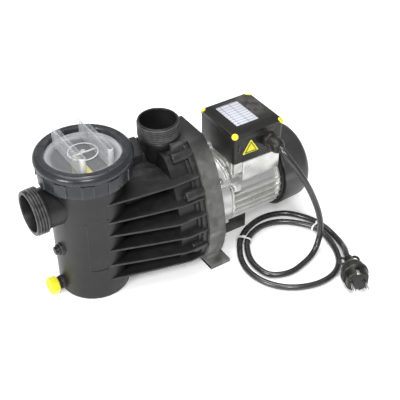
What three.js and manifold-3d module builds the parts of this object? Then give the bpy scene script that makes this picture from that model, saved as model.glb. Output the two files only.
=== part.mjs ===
// Pool pump with built-in strainer: wet end, motor, terminal box, mains cord.
// Millimetres. Origin on the floor under the strainer axis, +X along the shaft
// towards the motor, +Z up.
import * as THREE from 'three';
import { mergeVertices } from 'three/addons/utils/BufferGeometryUtils.js';
import Module from 'manifold-3d';

const wasm = await Module();
wasm.setup();

// ---------------------------------------------------------------- dimensions
const GAP = 0.3;               // clearance between neighbouring pieces
const Z_AX = 79;               // shaft axis above the floor
const BARREL_R = 52.6;         // strainer barrel outside
const NECK_R = 58.2;           // threaded collar under the lock ring
const NECK_TOP = 211.5;
const RING_R = 67.5, RING_TOP = 227.7, RING_BOTTOM = 193, RING_OPEN_R = 52.5;
const SUCTION_Z = 156.6, SUCTION_X = -87.5, SUCTION_R = 32.7, SUCTION_BORE = 26.5;
const OUT_X = 120.2, OUT_Y = 7.5, OUT_TOP = 229.2, OUT_R = 29.8, OUT_BORE = 25.8;
const SPLIT_X = 145;           // housing to rear casing joint
const CASING_X = 172;          // rear face of the rear casing
const DECK_Z = 204;            // flat top of the discharge block
const VOLUTE_R = 56;
const DRUM_X = 105;            // front face of the volute drum
const CHANNEL_BORE = 22;
const JOINT_X = 207;           // bracket to stator housing joint
const STATOR_END = 296.7;
const MOTOR_R = 57;
const COWL_X0 = 302, COWL_X1 = 353, COWL_R = 63;
const BOX_X0 = 214.2, BOX_X1 = 301.9, BOX_Y = 44.7, BOX_Z0 = 143, BOX_Z1 = 191.7;
const LID_Z = 186.6;           // underside of the terminal box lid
const GLAND_X = 275, GLAND_Z = 167.5;
const CORD_R = 4.65;
const RIBS = [[165, 65, 97], [134, 77, 112], [111, 84, 100], [84.5, 88, 114],
  [57, 87.5, 112], [31, 80.5, 118]];                 // height, half width, x of bend
const FLANGE = [[8, 63], [15, 72], [31, 81], [45, 85.5], [60, 87.8], [75, 88.5],
  [90, 87.5], [111, 83.5], [134, 77.5], [150, 71.5], [165, 65], [182, 54.5],
  [195, 41], [DECK_Z, 29]];                          // height, half width
const BOLTS = [[36, 188], [67, 141], [76, 53]];      // y, z of the casing bolts
const DRAIN_Z = 14.5, STEM_R = 4.8;
const GAUGE = { y: -9, z: 84 };                      // blanked port on the barrel

// ---------------------------------------------------------------- helpers
const group = new THREE.Group();
group.name = 'pool_pump';

function solid(geo) {
  const g = geo.clone();
  for (const k of Object.keys(g.attributes)) if (k !== 'position') g.deleteAttribute(k);
  const m = mergeVertices(g, 1e-4);
  const p = m.attributes.position.array;
  const idx = [];
  for (let i = 0; i < m.index.count; i += 3) {
    const [a, b, c] = [m.index.getX(i), m.index.getX(i + 1), m.index.getX(i + 2)];
    if (a !== b && b !== c && c !== a) idx.push([a, b, c]);
  }
  let vol = 0;
  for (const [a, b, c] of idx) {
    const [ax, ay, az, bx, by, bz, cx, cy, cz] =
      [a, b, c].flatMap((k) => [p[3 * k], p[3 * k + 1], p[3 * k + 2]]);
    vol += ax * (by * cz - bz * cy) + ay * (bz * cx - bx * cz) + az * (bx * cy - by * cx);
  }
  const tris = idx.flatMap(([a, b, c]) => (vol < 0 ? [a, c, b] : [a, b, c]));
  return new wasm.Manifold(new wasm.Mesh({ numProp: 3, vertProperties: new Float32Array(p),
    triVerts: new Uint32Array(tris) }));
}

// revolve a profile of [radius, height] pairs about X, Y or Z through a point
function rev(profile, most, axis = 'z', at = [0, 0, 0]) {
  const R = Math.max(...profile.map(([r]) => r));
  const seg = Math.min(most, R > 40 ? 28 : R > 14 ? 18 : R > 6 ? 12 : 8);
  const pts = profile.map(([r, h]) => new THREE.Vector2(Math.max(r, 0), h));
  const [f, l] = [profile[0], profile[profile.length - 1]];
  if (f[0] > 0 || l[0] > 0) pts.push(pts[0].clone());
  const g = new THREE.LatheGeometry(pts, seg);
  if (axis === 'z') g.rotateX(Math.PI / 2);
  if (axis === 'x') g.rotateZ(-Math.PI / 2);
  g.translate(...at);
  return solid(g);
}

function cyl(r, h0, h1, seg, axis, at = [0, 0, 0]) {
  return rev([[0, h0], [r, h0], [r, h1], [0, h1]], seg, axis, at);
}

function tube(r0, r1, h0, h1, seg, axis, at = [0, 0, 0]) {
  return rev([[r0, h0], [r1, h0], [r1, h1], [r0, h1]], seg, axis, at);
}

function box(x0, x1, y0, y1, z0, z1) {
  const g = new THREE.BoxGeometry(x1 - x0, y1 - y0, z1 - z0);
  g.translate((x0 + x1) / 2, (y0 + y1) / 2, (z0 + z1) / 2);
  return solid(g);
}

// a flat outline of [u, v] pairs extruded along Z (u=x, v=y) or along X (u=y, v=z)
function slab(points, h0, h1, axis = 'z') {
  const s = new THREE.Shape(points.map(([u, v]) => new THREE.Vector2(u, v)));
  const g = new THREE.ExtrudeGeometry(s, { depth: h1 - h0, bevelEnabled: false, steps: 1 });
  g.translate(0, 0, h0);
  if (axis === 'x') {
    g.applyMatrix4(new THREE.Matrix4().makeBasis(new THREE.Vector3(0, 1, 0),
      new THREE.Vector3(0, 0, 1), new THREE.Vector3(1, 0, 0)));
  }
  return solid(g);
}

function roundRect(x0, x1, y0, y1, r, n = 3) {
  const pts = [];
  const corners = [[x1 - r, y0 + r, -90], [x1 - r, y1 - r, 0], [x0 + r, y1 - r, 90],
    [x0 + r, y0 + r, 180]];
  for (const [cx, cy, a0] of corners) {
    for (let i = 0; i <= n; i++) {
      const a = (a0 + (90 * i) / n) * Math.PI / 180;
      pts.push([cx + r * Math.cos(a), cy + r * Math.sin(a)]);
    }
  }
  return pts;
}

// the tall rounded casing outline, drawn inwards by `off`
function outline(off) {
  const side = FLANGE.map(([z, w]) => [w - off, z]).filter(([, z]) =>
    z >= FLANGE[0][0] + off && z <= DECK_Z - off);
  const at = (z) => {
    const i = Math.min(Math.max(FLANGE.findIndex(([q]) => q >= z), 1), FLANGE.length - 1);
    const [[za, wa], [zb, wb]] = [FLANGE[i - 1], FLANGE[i]];
    return wa + ((z - za) / (zb - za)) * (wb - wa);
  };
  const lo = FLANGE[0][0] + off;
  const hi = DECK_Z - off;
  const right = [[at(lo) - off, lo], ...side.filter(([, z]) => z > lo + 1 && z < hi - 1),
    [at(hi) - off, hi]];
  return [...right, ...right.map(([w, z]) => [-w, z]).reverse()];
}

function turned(geo, deg, z = Z_AX) {              // rotate a geometry about the shaft axis
  geo.translate(0, 0, -z);
  geo.rotateX((deg * Math.PI) / 180);
  geo.translate(0, 0, z);
  return geo;
}

// the largest of the separate bodies in a solid
function largest(m) {
  return m.decompose().sort((a, b) => b.volume() - a.volume())[0];
}

function put(name, m, color, roughness, metalness = 0, extra = {}) {
  const out = m.simplify(0.03).getMesh();
  const n = out.numProp;
  const pos = new Float32Array((out.vertProperties.length / n) * 3);
  for (let i = 0; i < pos.length / 3; i++) {
    for (let k = 0; k < 3; k++) pos[3 * i + k] = out.vertProperties[n * i + k];
  }
  let g = new THREE.BufferGeometry();
  g.setAttribute('position', new THREE.BufferAttribute(pos, 3));
  g.setIndex(Array.from(out.triVerts));
  g.computeVertexNormals();
  const mat = new THREE.MeshStandardMaterial({ color, roughness, metalness, ...extra });
  const mesh = new THREE.Mesh(g, mat);
  mesh.name = name;
  group.add(mesh);
}

const AX = [0, 0, Z_AX];                             // a point on the shaft axis
const GREY = 0x3d3e40, BLACK = 0x17181a, SILVER = 0xc4c6c4, YELLOW = 0xf2ee1c;

// ---------------------------------------------------------------- wet end
function threads(r, depth, h0, h1, count) {          // plain ridges, up the profile
  const pts = [];
  const p = (h1 - h0) / count;
  for (let i = 0; i < count; i++) {
    const a = h0 + i * p;
    pts.push([r - depth, a], [r, a + 0.35 * p], [r, a + 0.65 * p]);
  }
  return pts;
}

const FINE_GAP = 0.05;                               // between the pieces of the moulding
const potOutside = rev([[0, 0], [50, 0], [51.5, 1.6], [BARREL_R, 100], [53, 189], [57, 196],
  [NECK_R, 197], [NECK_R, NECK_TOP], [0, NECK_TOP]], 56)
  .add(cyl(10, 45, 56, 20, 'x').rotate([0, 0, 180]).translate([0, 0, DRAIN_Z]))
  .add(cyl(9.5, 45, 54.5, 20, 'x').rotate([0, 0, 180]).translate([0, GAUGE.y, GAUGE.z]));
const neckOutside = rev([[0, 150], [19, 150], [20.5, 165], [29.2, 199], [29.2, 203.5],
  ...threads(OUT_R, 1.2, 204, 226, 3), [OUT_R - 0.9, 227], [OUT_R - 0.9, OUT_TOP],
  [0, OUT_TOP]], 40, 'z', [OUT_X, OUT_Y, 0]).subtract(box(SPLIT_X, 160, -40, 60, 140, DECK_Z + GAP));
const potRoom = potOutside.scale([1 + FINE_GAP / 50, 1 + FINE_GAP / 50, 1]);
const grownNeck = neckOutside.translate([-OUT_X, -OUT_Y, 0])
  .scale([1 + FINE_GAP / 20, 1 + FINE_GAP / 20, 1]).translate([OUT_X, OUT_Y, 0]);
const neckRoom = grownNeck.add(grownNeck.translate([0, 0, -FINE_GAP]));
const channelBore = cyl(CHANNEL_BORE, 30, 113, 28, 'x', AX);

function strainerPot() {
  let m = potOutside.subtract(rev([[0, 9], [46, 9], [48.2, 60], [48.6, 190], [49.5, 205],
    [49.5, 213], [0, 213]], 48));
  m = m.subtract(cyl(SUCTION_BORE, -90, -35, 36, 'x', [0, 0, SUCTION_Z])).subtract(channelBore);
  m = m.subtract(cyl(5.8, 40, 60, 16, 'x').rotate([0, 0, 180]).translate([0, 0, DRAIN_Z]));
  m = m.subtract(cyl(4.2, 40, 60, 14, 'x').rotate([0, 0, 180])
    .translate([0, GAUGE.y, GAUGE.z]));
  put('strainer_pot', m, GREY, 0.48);
}

function suctionStub() {                             // pointing to -X
  const m = rev([[0, 40], [28.4, 40], [28.4, 68], ...threads(SUCTION_R, 2.2, 68.5, 84, 3),
    [SUCTION_R - 0.8, 84.6], [SUCTION_R - 0.8, -SUCTION_X], [0, -SUCTION_X]], 40, 'x')
    .rotate([0, 0, 180]).translate([0, 0, SUCTION_Z]);
  const bore = cyl(SUCTION_BORE, -90, -35, 36, 'x', [0, 0, SUCTION_Z]);
  put('suction_stub', m.subtract(bore).subtract(potRoom), GREY, 0.48);
}

function outletNeck() {
  const bore = rev([[0, 140], [15, 140], [15, 170], [23.6, 204], [OUT_BORE, 212],
    [OUT_BORE, 231], [0, 231]], 36, 'z', [OUT_X, OUT_Y, 0]);
  put('outlet_neck', neckOutside.subtract(bore), GREY, 0.48);
}

function voluteOutside(g = 0) {                      // g larger all round
  let m = slab(outline(12 - g), DRUM_X - g, 139, 'x');           // drum
  m = m.add(slab(outline(5 - g), 137 - g, SPLIT_X, 'x'));        // joint flange
  m = m.add(box(120 - g, SPLIT_X, -29 - g, 37.5 + g, 158, DECK_Z));    // discharge block
  for (const s of [-1, 1]) {
    for (const [i, [y, z]] of BOLTS.entries()) {
      const x0 = [113, 116, 121][i];
      m = m.add(cyl(8.5 + g, x0 - g, SPLIT_X, 20, 'x', [0, s * y, z]));
      const yi = s * (y - 14);
      m = m.add(box(x0 - g, SPLIT_X, Math.min(yi, s * y), Math.max(yi, s * y), z - 5 - g, z + 5 + g));
    }
  }
  return m.subtract(neckRoom);
}

function pumpHousing() {
  let ribbed = box(30, DRUM_X, -31, 31, 18, 165);                // inner channel block
  ribbed = ribbed.add(box(40, DRUM_X, 6, 54, 160, 179));         // raised deck
  for (const [z, w, bend] of RIBS) {                             // side plates
    const half = [[0, -BARREL_R + 0.2], [bend, -w], [SPLIT_X - 3, -w]];
    ribbed = ribbed.add(slab([...half, ...half.map(([x, y]) => [x, -y]).reverse()],
      z - 1.5, z + 1.5));
  }
  ribbed = ribbed.subtract(potRoom).subtract(neckRoom).subtract(voluteOutside(FINE_GAP));
  put('ribbed_channel', largest(ribbed.subtract(channelBore)), GREY, 0.48);

  let m = voluteOutside().subtract(channelBore);
  m = m.subtract(cyl(VOLUTE_R, 112, SPLIT_X + 1, 48, 'x', AX));
  m = m.subtract(cyl(15, 110, 155, 36, 'z', [OUT_X, OUT_Y, 0]));
  m = m.subtract(tube(58.6, 62.2, 142.2, SPLIT_X + 1, 48, 'x', AX));
  for (const s of [-1, 1]) {
    for (const [y, z] of BOLTS) m = m.subtract(cyl(3.8, 123, SPLIT_X + 1, 12, 'x', [0, s * y, z]));
  }
  put('pump_housing', m, GREY, 0.48);
}

function lockRing() {
  let m = rev([[RING_OPEN_R, 220.2], [RING_OPEN_R, 226.9], [53.3, RING_TOP], [61, RING_TOP],
    [65, 226.2], [RING_R, 221], [RING_R, 217.2], [64.6, 214.8],
    [63.8, RING_BOTTOM], [60.4, RING_BOTTOM],
    [60.4, 220.2]], 64);
  for (let i = 0; i < 12; i++) {
    const g = new THREE.ExtrudeGeometry(new THREE.Shape([[62, -8.8], [66.1, -7.8], [66.1, 7.8],
      [62, 8.8]].map(([u, v]) => new THREE.Vector2(u, v))),
    { depth: 19.6, bevelEnabled: false, steps: 1 });
    g.translate(0, 0, RING_BOTTOM + 1.2);
    g.rotateZ((i * Math.PI) / 6 + 0.16);
    m = m.add(solid(g));
  }
  put('lock_ring', m, 0x34363a, 0.4);
}

function clearLid() {
  let m = rev([[0, 215.6], [40, 215.6], [48.6, 213.7], [57.4, 213.7], [57.4, 219.6],
    [52, 219.6], [51.2, 222.2], [21.6, 222.2], [21, 224.6], [19, 224.6], [18.4, 222.2],
    [4, 222.2], [3.4, 226], [0, 226.6]], 48);
  for (const s of [-1, 1]) {
    let grip = slab(roundRect(s * 20 - 4, s * 20 + 4, -46, 46, 3.9, 2), 218.6, 247);
    for (let i = 0; i < 5; i++) {
      const y0 = -43.6 + i * 17.6;
      grip = grip.subtract(box(s * 20 - 2.2, s * 20 + 2.2, y0, y0 + 16, 224, 248));
    }
    m = m.add(grip);
  }
  put('clear_lid', m, 0xdde4e8, 0.08, 0, { transparent: true, opacity: 0.3 });
}

function ringSeal(name, R, r, seg, axis, at, color = BLACK) {
  const n = 6;
  const pts = [];
  for (let i = 0; i < n; i++) {
    const a = (i / n) * 2 * Math.PI;
    pts.push([R + r * Math.cos(a), r * Math.sin(a)]);
  }
  put(name, rev(pts, seg, axis, at), color, 0.7);
}

function basket() {
  let m = rev([[0, 12], [38, 12], [40, 14], [44.6, 122], [44.6, 126], [41.2, 126], [41.2, 122],
    [37.4, 15], [0, 15]], 24);
  for (let k = 0; k < 8; k++) {
    for (let j = 0; j < 4; j++) {
      const g = new THREE.BoxGeometry(16, 15, 17);
      g.translate(40, 0, 31 + j * 24);
      g.rotateZ((k * Math.PI) / 4);
      m = m.subtract(solid(g));
    }
  }
  for (let k = 0; k < 6; k++) {
    const g = new THREE.BoxGeometry(20, 5, 6);
    g.translate(21, 0, 13.5);
    g.rotateZ((k * Math.PI) / 3);
    m = m.subtract(solid(g));
  }
  put('strainer_basket', m, 0xb9bbbd, 0.5);
}

function basketHandle() {
  const s = new THREE.Shape([[-40, 119], [-37, 119], [-37, 150], [-26, 196], [26, 196],
    [37, 150], [37, 119], [40, 119], [40, 151], [28.6, 200], [-28.6, 200],
    [-40, 151]].map(([u, v]) => new THREE.Vector2(u, v)));
  const g = new THREE.ExtrudeGeometry(s, { depth: 9, bevelEnabled: false, steps: 1 });
  g.translate(0, 0, -4.5);
  g.rotateX(Math.PI / 2);
  g.rotateZ(Math.PI / 2);
  put('basket_handle', solid(g), 0xd8cf35, 0.4);
}

function drainPlug() {
  // cap with eight flats on a threaded stem, pointing to -X
  const cap = [];
  for (let i = 0; i < 16; i++) {
    const a = (i / 16) * 2 * Math.PI;
    const r = i % 2 ? 12.2 : 13.4;
    cap.push([r * Math.cos(a), r * Math.sin(a)]);
  }
  let m = slab(cap, -73.5, -60.2, 'x').add(cyl(10.6, 60, 61, 20, 'x').rotate([0, 0, 180]));
  m = m.add(cyl(STEM_R, 46, 61, 16, 'x').rotate([0, 0, 180]));
  m = m.subtract(cyl(8.6, -74, -70.5, 6, 'x'));
  m = m.add(box(-73.2, -70, -1.6, 1.6, -8.9, 8.9));
  put('drain_plug', m.translate([0, 0, DRAIN_Z]), YELLOW, 0.35);
  put('drain_seal', tube(5.9, 9.4, -59.7, -56.3, 24, 'x', [0, 0, DRAIN_Z]), BLACK, 0.7);
}

function gaugePlug() {
  let m = cyl(8.2, 54.8, 58, 20, 'x').add(cyl(3.9, 46, 56, 12, 'x'));
  m = m.add(cyl(5.6, 57, 61.5, 6, 'x'));
  put('gauge_port_plug', m.rotate([0, 0, 180]).translate([0, GAUGE.y, GAUGE.z]), BLACK, 0.5);
}

function rearCasing() {
  const x0 = SPLIT_X + GAP;
  let m = slab(outline(0), x0, CASING_X, 'x');
  m = m.add(cyl(55.4, 139.5, x0 + 2, 48, 'x', AX));              // spigot into the volute
  for (const s of [-1, 1]) {
    const y = (a, b) => [Math.min(s * a, s * b), Math.max(s * a, s * b)];
    m = m.add(box(150, 184.5, ...y(58, 84.5), 0, 6.2));          // foot plate
    const fil = [[56, 0.01], [84, 0.01], [84, 6], [77, 7.5], [74.5, 12], [75.2, 20], [56, 20]];
    m = m.add(slab(fil.map(([u, v]) => [s * u, v]), 150, CASING_X, 'x'));
  }
  let pocket = slab(outline(7), 158, CASING_X + 1, 'x');
  pocket = pocket.subtract(cyl(63.5, 150, 180, 48, 'x', AX));
  for (const a of [0, 45, 90, 135]) {
    const g = new THREE.BoxGeometry(40, 260, 3.2);
    g.translate(165, 0, Z_AX);
    pocket = pocket.subtract(solid(turned(g, a)));
  }
  for (const s of [-1, 1]) {
    for (const [y, z] of BOLTS) pocket = pocket.subtract(cyl(10, 150, 180, 16, 'x', [0, s * y, z]));
  }
  m = m.subtract(pocket);
  m = m.subtract(cyl(20, 139, 153, 32, 'x', AX)).subtract(cyl(9, 150, 163, 20, 'x', AX));
  m = m.subtract(cyl(46, 162, CASING_X + 1, 40, 'x', AX));
  for (const s of [-1, 1]) {
    for (const [y, z] of BOLTS) m = m.subtract(cyl(4.1, 140, 175, 12, 'x', [0, s * y, z]));
  }
  put('rear_casing', m, 0x434446, 0.5);
}

function casingBolts() {
  let n = 1;
  for (const s of [-1, 1]) {
    for (const [y, z] of BOLTS) {
      let m = cyl(3.5, 130, CASING_X + 1, 10, 'x').add(cyl(7.6, CASING_X + GAP, 173.8, 16, 'x'));
      m = m.add(cyl(6.6, 173.5, 179, 6, 'x'));
      put(`casing_bolt_${n++}`, m.translate([0, s * y, z]), 0xcfd2d2, 0.25, 1);
    }
  }
}

function impeller() {
  let m = rev([[21.5, 114.8], [24, 114.8], [26, 119.5], [49, 122], [49, 123.6], [25, 121.6],
    [21.5, 119.6]], 24, 'x');
  m = m.add(rev([[6.4, 116], [10, 116], [12, 126], [14, 129.6], [49, 131.4], [49, 133],
    [13, 133], [13, 136.5], [6.4, 136.5]], 24, 'x'));
  for (let i = 0; i < 5; i++) {
    const pts = [];
    for (let k = 0; k <= 2; k++) {
      const r = 20 + (28.4 * k) / 2;
      const a = (i * 2 * Math.PI) / 5 - (k / 2) * 0.8;
      pts.push([r * Math.cos(a), r * Math.sin(a), a]);
    }
    const thick = 1.1;
    const side = (q) => pts.map(([u, v, a]) => [u - q * Math.sin(a), v + q * Math.cos(a)]);
    m = m.add(slab([...side(thick), ...side(-thick).reverse()], 121, 131, 'x'));
  }
  put('impeller', m.translate([0, 0, Z_AX]), 0x8e9094, 0.45);
  let d = rev([[23.6, 112.4], [55.4, 112.4], [55.4, 139], [53.2, 139], [53.2, 114.2],
    [27, 114.2], [23.6, 114.2]], 44, 'x', AX);
  d = d.subtract(cyl(15, Z_AX + 40, Z_AX + 60, 20, 'z', [OUT_X + 2, OUT_Y, 0]));
  put('diffuser', d, 0x2c2d2f, 0.5);
}

function shaftSeal() {
  put('seal_rotating_head', rev([[7.6, 136.9], [12, 136.9], [12, 139], [14.5, 140],
    [14.5, 144.5], [11.8, 145.5], [11.8, 147.4], [7.6, 147.4]], 28, 'x', AX), 0x9a9ca0, 0.35, 0.8);
  put('seal_seat', rev([[8.2, 147.7], [12.5, 147.7], [12.5, 149.4], [19.6, 149.4],
    [19.6, 152.6], [8.2, 152.6]], 28, 'x', AX), 0xe6e2da, 0.4);
}

// ---------------------------------------------------------------- motor
function shaft() {
  put('shaft', rev([[0, 117], [5.2, 117], [6, 118], [6, 136.6], [7.2, 137.2], [7.2, 205.5],
    [9.4, 206.2], [9.4, 287.4], [7.2, 288.1], [7.2, 311], [6, 312], [6, 340], [5, 341],
    [0, 341]], 24, 'x', AX), 0xb9bcbe, 0.25, 1);
}

function bearing(name, x0, x1) {
  const xc = (x0 + x1) / 2;
  put(`${name}_outer_ring`, rev([[15.2, x0], [17.5, x0], [17.5, x1], [15.2, x1],
    [15.2, xc + 2], [15.7, xc], [15.2, xc - 2]], 32, 'x', AX), 0xc9cbcc, 0.2, 1);
  put(`${name}_inner_ring`, rev([[7.5, x0], [9.9, x0], [9.9, xc - 2], [9.4, xc],
    [9.9, xc + 2], [9.9, x1], [7.5, x1]], 28, 'x', AX), 0xc9cbcc, 0.2, 1);
  let m = tube(11.7, 13.3, xc - 1, xc + 1, 32, 'x');
  for (let i = 0; i < 6; i++) {
    const g = new THREE.SphereGeometry(2.4, 6, 3);
    const a = (i * Math.PI) / 3;
    g.translate(xc, 12.5 * Math.cos(a), 12.5 * Math.sin(a));
    m = m.add(solid(g));
  }
  put(`${name}_ball_cage`, m.translate([0, 0, Z_AX]), 0xbfae84, 0.3, 0.9);
}

function motorBracket() {
  let m = rev([[50.5, CASING_X + GAP], [MOTOR_R + 1.5, CASING_X + GAP], [MOTOR_R + 1.5, 177],
    [MOTOR_R, 179], [MOTOR_R, JOINT_X], [17.8, JOINT_X], [17.8, 194], [10, 194], [10, 189],
    [50.5, 189]], 56, 'x', AX);
  m = m.subtract(box(176, 186, -9, 9, 10, 34));                  // drip slot underneath
  put('motor_bracket', m, SILVER, 0.4, 0.7);
}

function statorHousing() {
  const x0 = JOINT_X + GAP;
  let m = cyl(50, x0, STATOR_END, 56, 'x', AX).add(cyl(MOTOR_R - 0.3, x0, 211, 56, 'x', AX));
  m = m.add(cyl(55, 292.5, STATOR_END, 48, 'x', AX));
  for (const s of [-1, 1]) {
    for (let a = 16; a >= -80; a -= 12) {
      const g = new THREE.BoxGeometry(STATOR_END - 213, 11, 2.1);
      g.translate((STATOR_END + 213) / 2, 51.3, Z_AX);
      turned(g, a);
      if (s < 0) g.scale(1, -1, 1);
      m = m.add(solid(g));
    }
    const y = (a, b) => [Math.min(s * a, s * b), Math.max(s * a, s * b)];
    m = m.add(box(230, STATOR_END, ...y(0, 46.4), 104, BOX_Z0 - GAP));
    m = m.add(box(215, 231, ...y(0, 38), 110, BOX_Z0 - GAP));
    m = m.add(box(209, 221, ...y(44, 56), 101, 112));            // screw lugs
    m = m.add(box(209, 221, ...y(36, 47), 28, 39));
  }
  m = m.subtract(cyl(46, x0 - 1, STATOR_END + 1, 56, 'x', AX));
  m = m.subtract(cyl(8, 100, 150, 20, 'z', [256, 0, 0]));
  put('stator_housing', m, 0xd2d3d0, 0.42, 0.6);
}

function motorCore() {
  const bars = (r, a, b) => {                        // coil sides lying in the core's slots
    let m = cyl(r, a, b, 8, 'x', [0, 36, Z_AX]);
    for (let i = 1; i < 6; i++) {
      const t = (i * Math.PI) / 3;
      m = m.add(cyl(r, a, b, 8, 'x', [0, 36 * Math.cos(t), Z_AX + 36 * Math.sin(t)]));
    }
    return m;
  };
  put('stator_core', tube(27, 45.7, 224, 280, 40, 'x', AX).subtract(bars(3.3, 220, 284)),
    0x6d6f72, 0.5, 0.8);
  let coil = bars(3, 222, 282);
  for (const [a, b] of [[211, 223.7], [280.3, 293]]) {
    coil = coil.add(rev([[29, a], [41.5, a], [44, a + 3], [44, b - 3], [41.5, b], [29, b]],
      22, 'x', AX));
  }
  put('stator_winding', coil, 0xb4652e, 0.45, 0.5);
  put('rotor', rev([[9.7, 222], [24, 222], [24, 224], [26.4, 224], [26.4, 280], [24, 280],
    [24, 282], [9.7, 282]], 36, 'x', AX), 0x8a8c90, 0.45, 0.8);
}

function rearShield() {
  put('rear_shield', rev([[17.8, 288.3], [21.5, 288.3], [21.5, 297], [58.6, 297],
    [58.6, 307], [56, 307], [54, 301], [24, 301], [22, 304], [10, 304], [10, 300.2],
    [17.8, 300.2]], 56, 'x', AX), 0x9fa1a0, 0.45, 0.6);
}

function fan() {
  let m = tube(6.3, 13, 315, 338, 28, 'x').add(tube(12, 50, 315, 317, 44, 'x'));
  for (let i = 0; i < 8; i++) {
    const g = new THREE.BoxGeometry(17, 38.5, 1.8);
    g.translate(324.5, 31, 0);
    g.rotateX((i * Math.PI) / 4);
    m = m.add(solid(g));
  }
  put('cooling_fan', m.translate([0, 0, Z_AX]), 0x1d1e20, 0.55);
}

function fanCowl() {
  const R = COWL_R;
  let m = rev([[59, COWL_X0], [R, COWL_X0], [R - 1.2, 338], [R - 3.4, 346], [R - 8, 351],
    [R - 12, COWL_X1], [0, COWL_X1], [0, COWL_X1 - 2.4], [R - 13, COWL_X1 - 2.4],
    [R - 10, 348.8], [R - 5.8, 344.6], [R - 3.7, 338], [59, 308]], 56, 'x', AX);
  for (let i = 0; i < 18; i++) {
    const g = new THREE.BoxGeometry(8, 28, 4);
    g.translate(COWL_X1, 31, Z_AX);
    m = m.subtract(solid(turned(g, i * 20)));
  }
  put('fan_cowl', m, 0x323335, 0.5);
}

function motorSupport() {
  let m = box(CASING_X + GAP, 252, -28, 28, 0, 33);
  m = m.subtract(cyl(59, CASING_X, 180, 56, 'x', AX));
  m = m.subtract(cyl(MOTOR_R + 0.4, 170, 260, 56, 'x', AX));
  put('motor_support', m, 0x101113, 0.6);
}

// ---------------------------------------------------------------- terminal box
const INSET = 4;                                     // corner screws, in from both edges
const CORNERS = [[BOX_X0 + INSET, -BOX_Y + INSET], [BOX_X1 - INSET, -BOX_Y + INSET],
  [BOX_X1 - INSET, BOX_Y - INSET], [BOX_X0 + INSET, BOX_Y - INSET]];

function terminalBox() {
  const [a, b, y] = [BOX_X0, BOX_X1, BOX_Y];
  let m = slab(roundRect(a, b, -y, y, 6), BOX_Z0, LID_Z - GAP);
  m = m.subtract(slab(roundRect(a + 3, b - 3, -y + 3, y - 3, 4), BOX_Z0 + 3, LID_Z));
  for (const [x, v] of CORNERS) m = m.add(cyl(3.1, BOX_Z0 + 2, 184, 16, 'z', [x, v, 0]));
  m = m.subtract(cyl(8, 140, 150, 20, 'z', [256, 0, 0]));
  m = m.subtract(cyl(8.1, -46, -40, 20, 'y', [GLAND_X, 0, GLAND_Z]));
  for (const [x, v] of CORNERS) m = m.subtract(cyl(2.3, 165, 190, 10, 'z', [x, v, 0]));
  put('terminal_box_base', m, BLACK, 0.45);

  let lid = slab(roundRect(a, b, -y, y, 6), LID_Z, BOX_Z1 - 1.2);
  lid = lid.add(slab(roundRect(a + 1.1, b - 1.1, -y + 1.1, y - 1.1, 5), BOX_Z1 - 2, BOX_Z1));
  for (const [x, v] of CORNERS) {
    lid = lid.subtract(cyl(5.5, 189.4, 193, 18, 'z', [x, v, 0]));
    lid = lid.subtract(cyl(2.4, 180, 193, 10, 'z', [x, v, 0]));
  }
  put('terminal_box_lid', lid, 0x1b1c1e, 0.45);

  const ring = slab(roundRect(a + 3.4, b - 3.4, -y + 3.4, y - 3.4, 4), 184.4, LID_Z - GAP)
    .subtract(slab(roundRect(a + 6, b - 6, -y + 6, y - 6, 3), 180, 190));
  let gasket = ring;
  for (const [x, v] of CORNERS) gasket = gasket.subtract(cyl(2.6, 180, 190, 10, 'z', [x, v, 0]));
  put('terminal_box_gasket', gasket, 0x2a2a2a, 0.8);

  for (const [i, [x, v]] of CORNERS.entries()) {
    let s = rev([[0, 168], [2.1, 168], [2.1, 189.7], [5.2, 189.7], [5.2, 192.6], [4.4, 193.6],
      [0, 193.6]], 16, 'z', [x, v, 0]);
    s = s.subtract(box(x - 3.4, x + 3.4, v - 0.6, v + 0.6, 192.4, 195));
    s = s.subtract(box(x - 0.6, x + 0.6, v - 3.4, v + 3.4, 192.4, 195));
    put(`box_screw_${i + 1}`, s, YELLOW, 0.35);
  }
  const plate = slab(roundRect(233.5, 272.5, -23.2, 32.4, 1), BOX_Z1 + GAP, BOX_Z1 + 0.9);
  put('nameplate', plate, 0xd9dce2, 0.35, 0.3);
  const s = new THREE.Shape([[243.6, 177], [256.9, 155.8], [229.8, 155.8]]
    .map(([u, v]) => new THREE.Vector2(u, v)));
  const g = new THREE.ExtrudeGeometry(s, { depth: 0.6, bevelEnabled: false, steps: 1 });
  g.rotateX(Math.PI / 2);
  g.translate(0, -BOX_Y - GAP, 0);
  put('blank_triangle_plate', solid(g), YELLOW, 0.4);
}

function boxInside() {
  let m = box(226, 262, 10, 34, 146.3, 160);
  for (let i = 0; i < 3; i++) m = m.add(cyl(3, 158, 165, 10, 'z', [232 + i * 12, 22, 0]));
  m = m.subtract(box(225, 263, 20.8, 23.2, 155, 161));
  put('terminal_block', m, 0xd8d2c0, 0.5);
  put('start_capacitor', cyl(15, 224, 262, 28, 'x', [0, -20, 162]), 0xd0d2d4, 0.35, 0.2);
}

function gland() {
  const at = [GLAND_X, 0, GLAND_Z];
  let m = cyl(12.4, -52.5, -BOX_Y - GAP, 6, 'y', at).add(cyl(7.7, -58, -36, 20, 'y', at));
  m = m.subtract(cyl(5.3, -60, -30, 16, 'y', at));
  put('gland_body', m, 0x202123, 0.5);
  let n = rev([[5.8, -75], [7.4, -75], [10, -71.5], [10.6, -69], [11.2, -68.6], [11.2, -52.9],
    [8, -52.9], [8, -60], [5.8, -62]], 24, 'y', at);
  put('gland_nut', n, 0x151618, 0.35);
}

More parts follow.
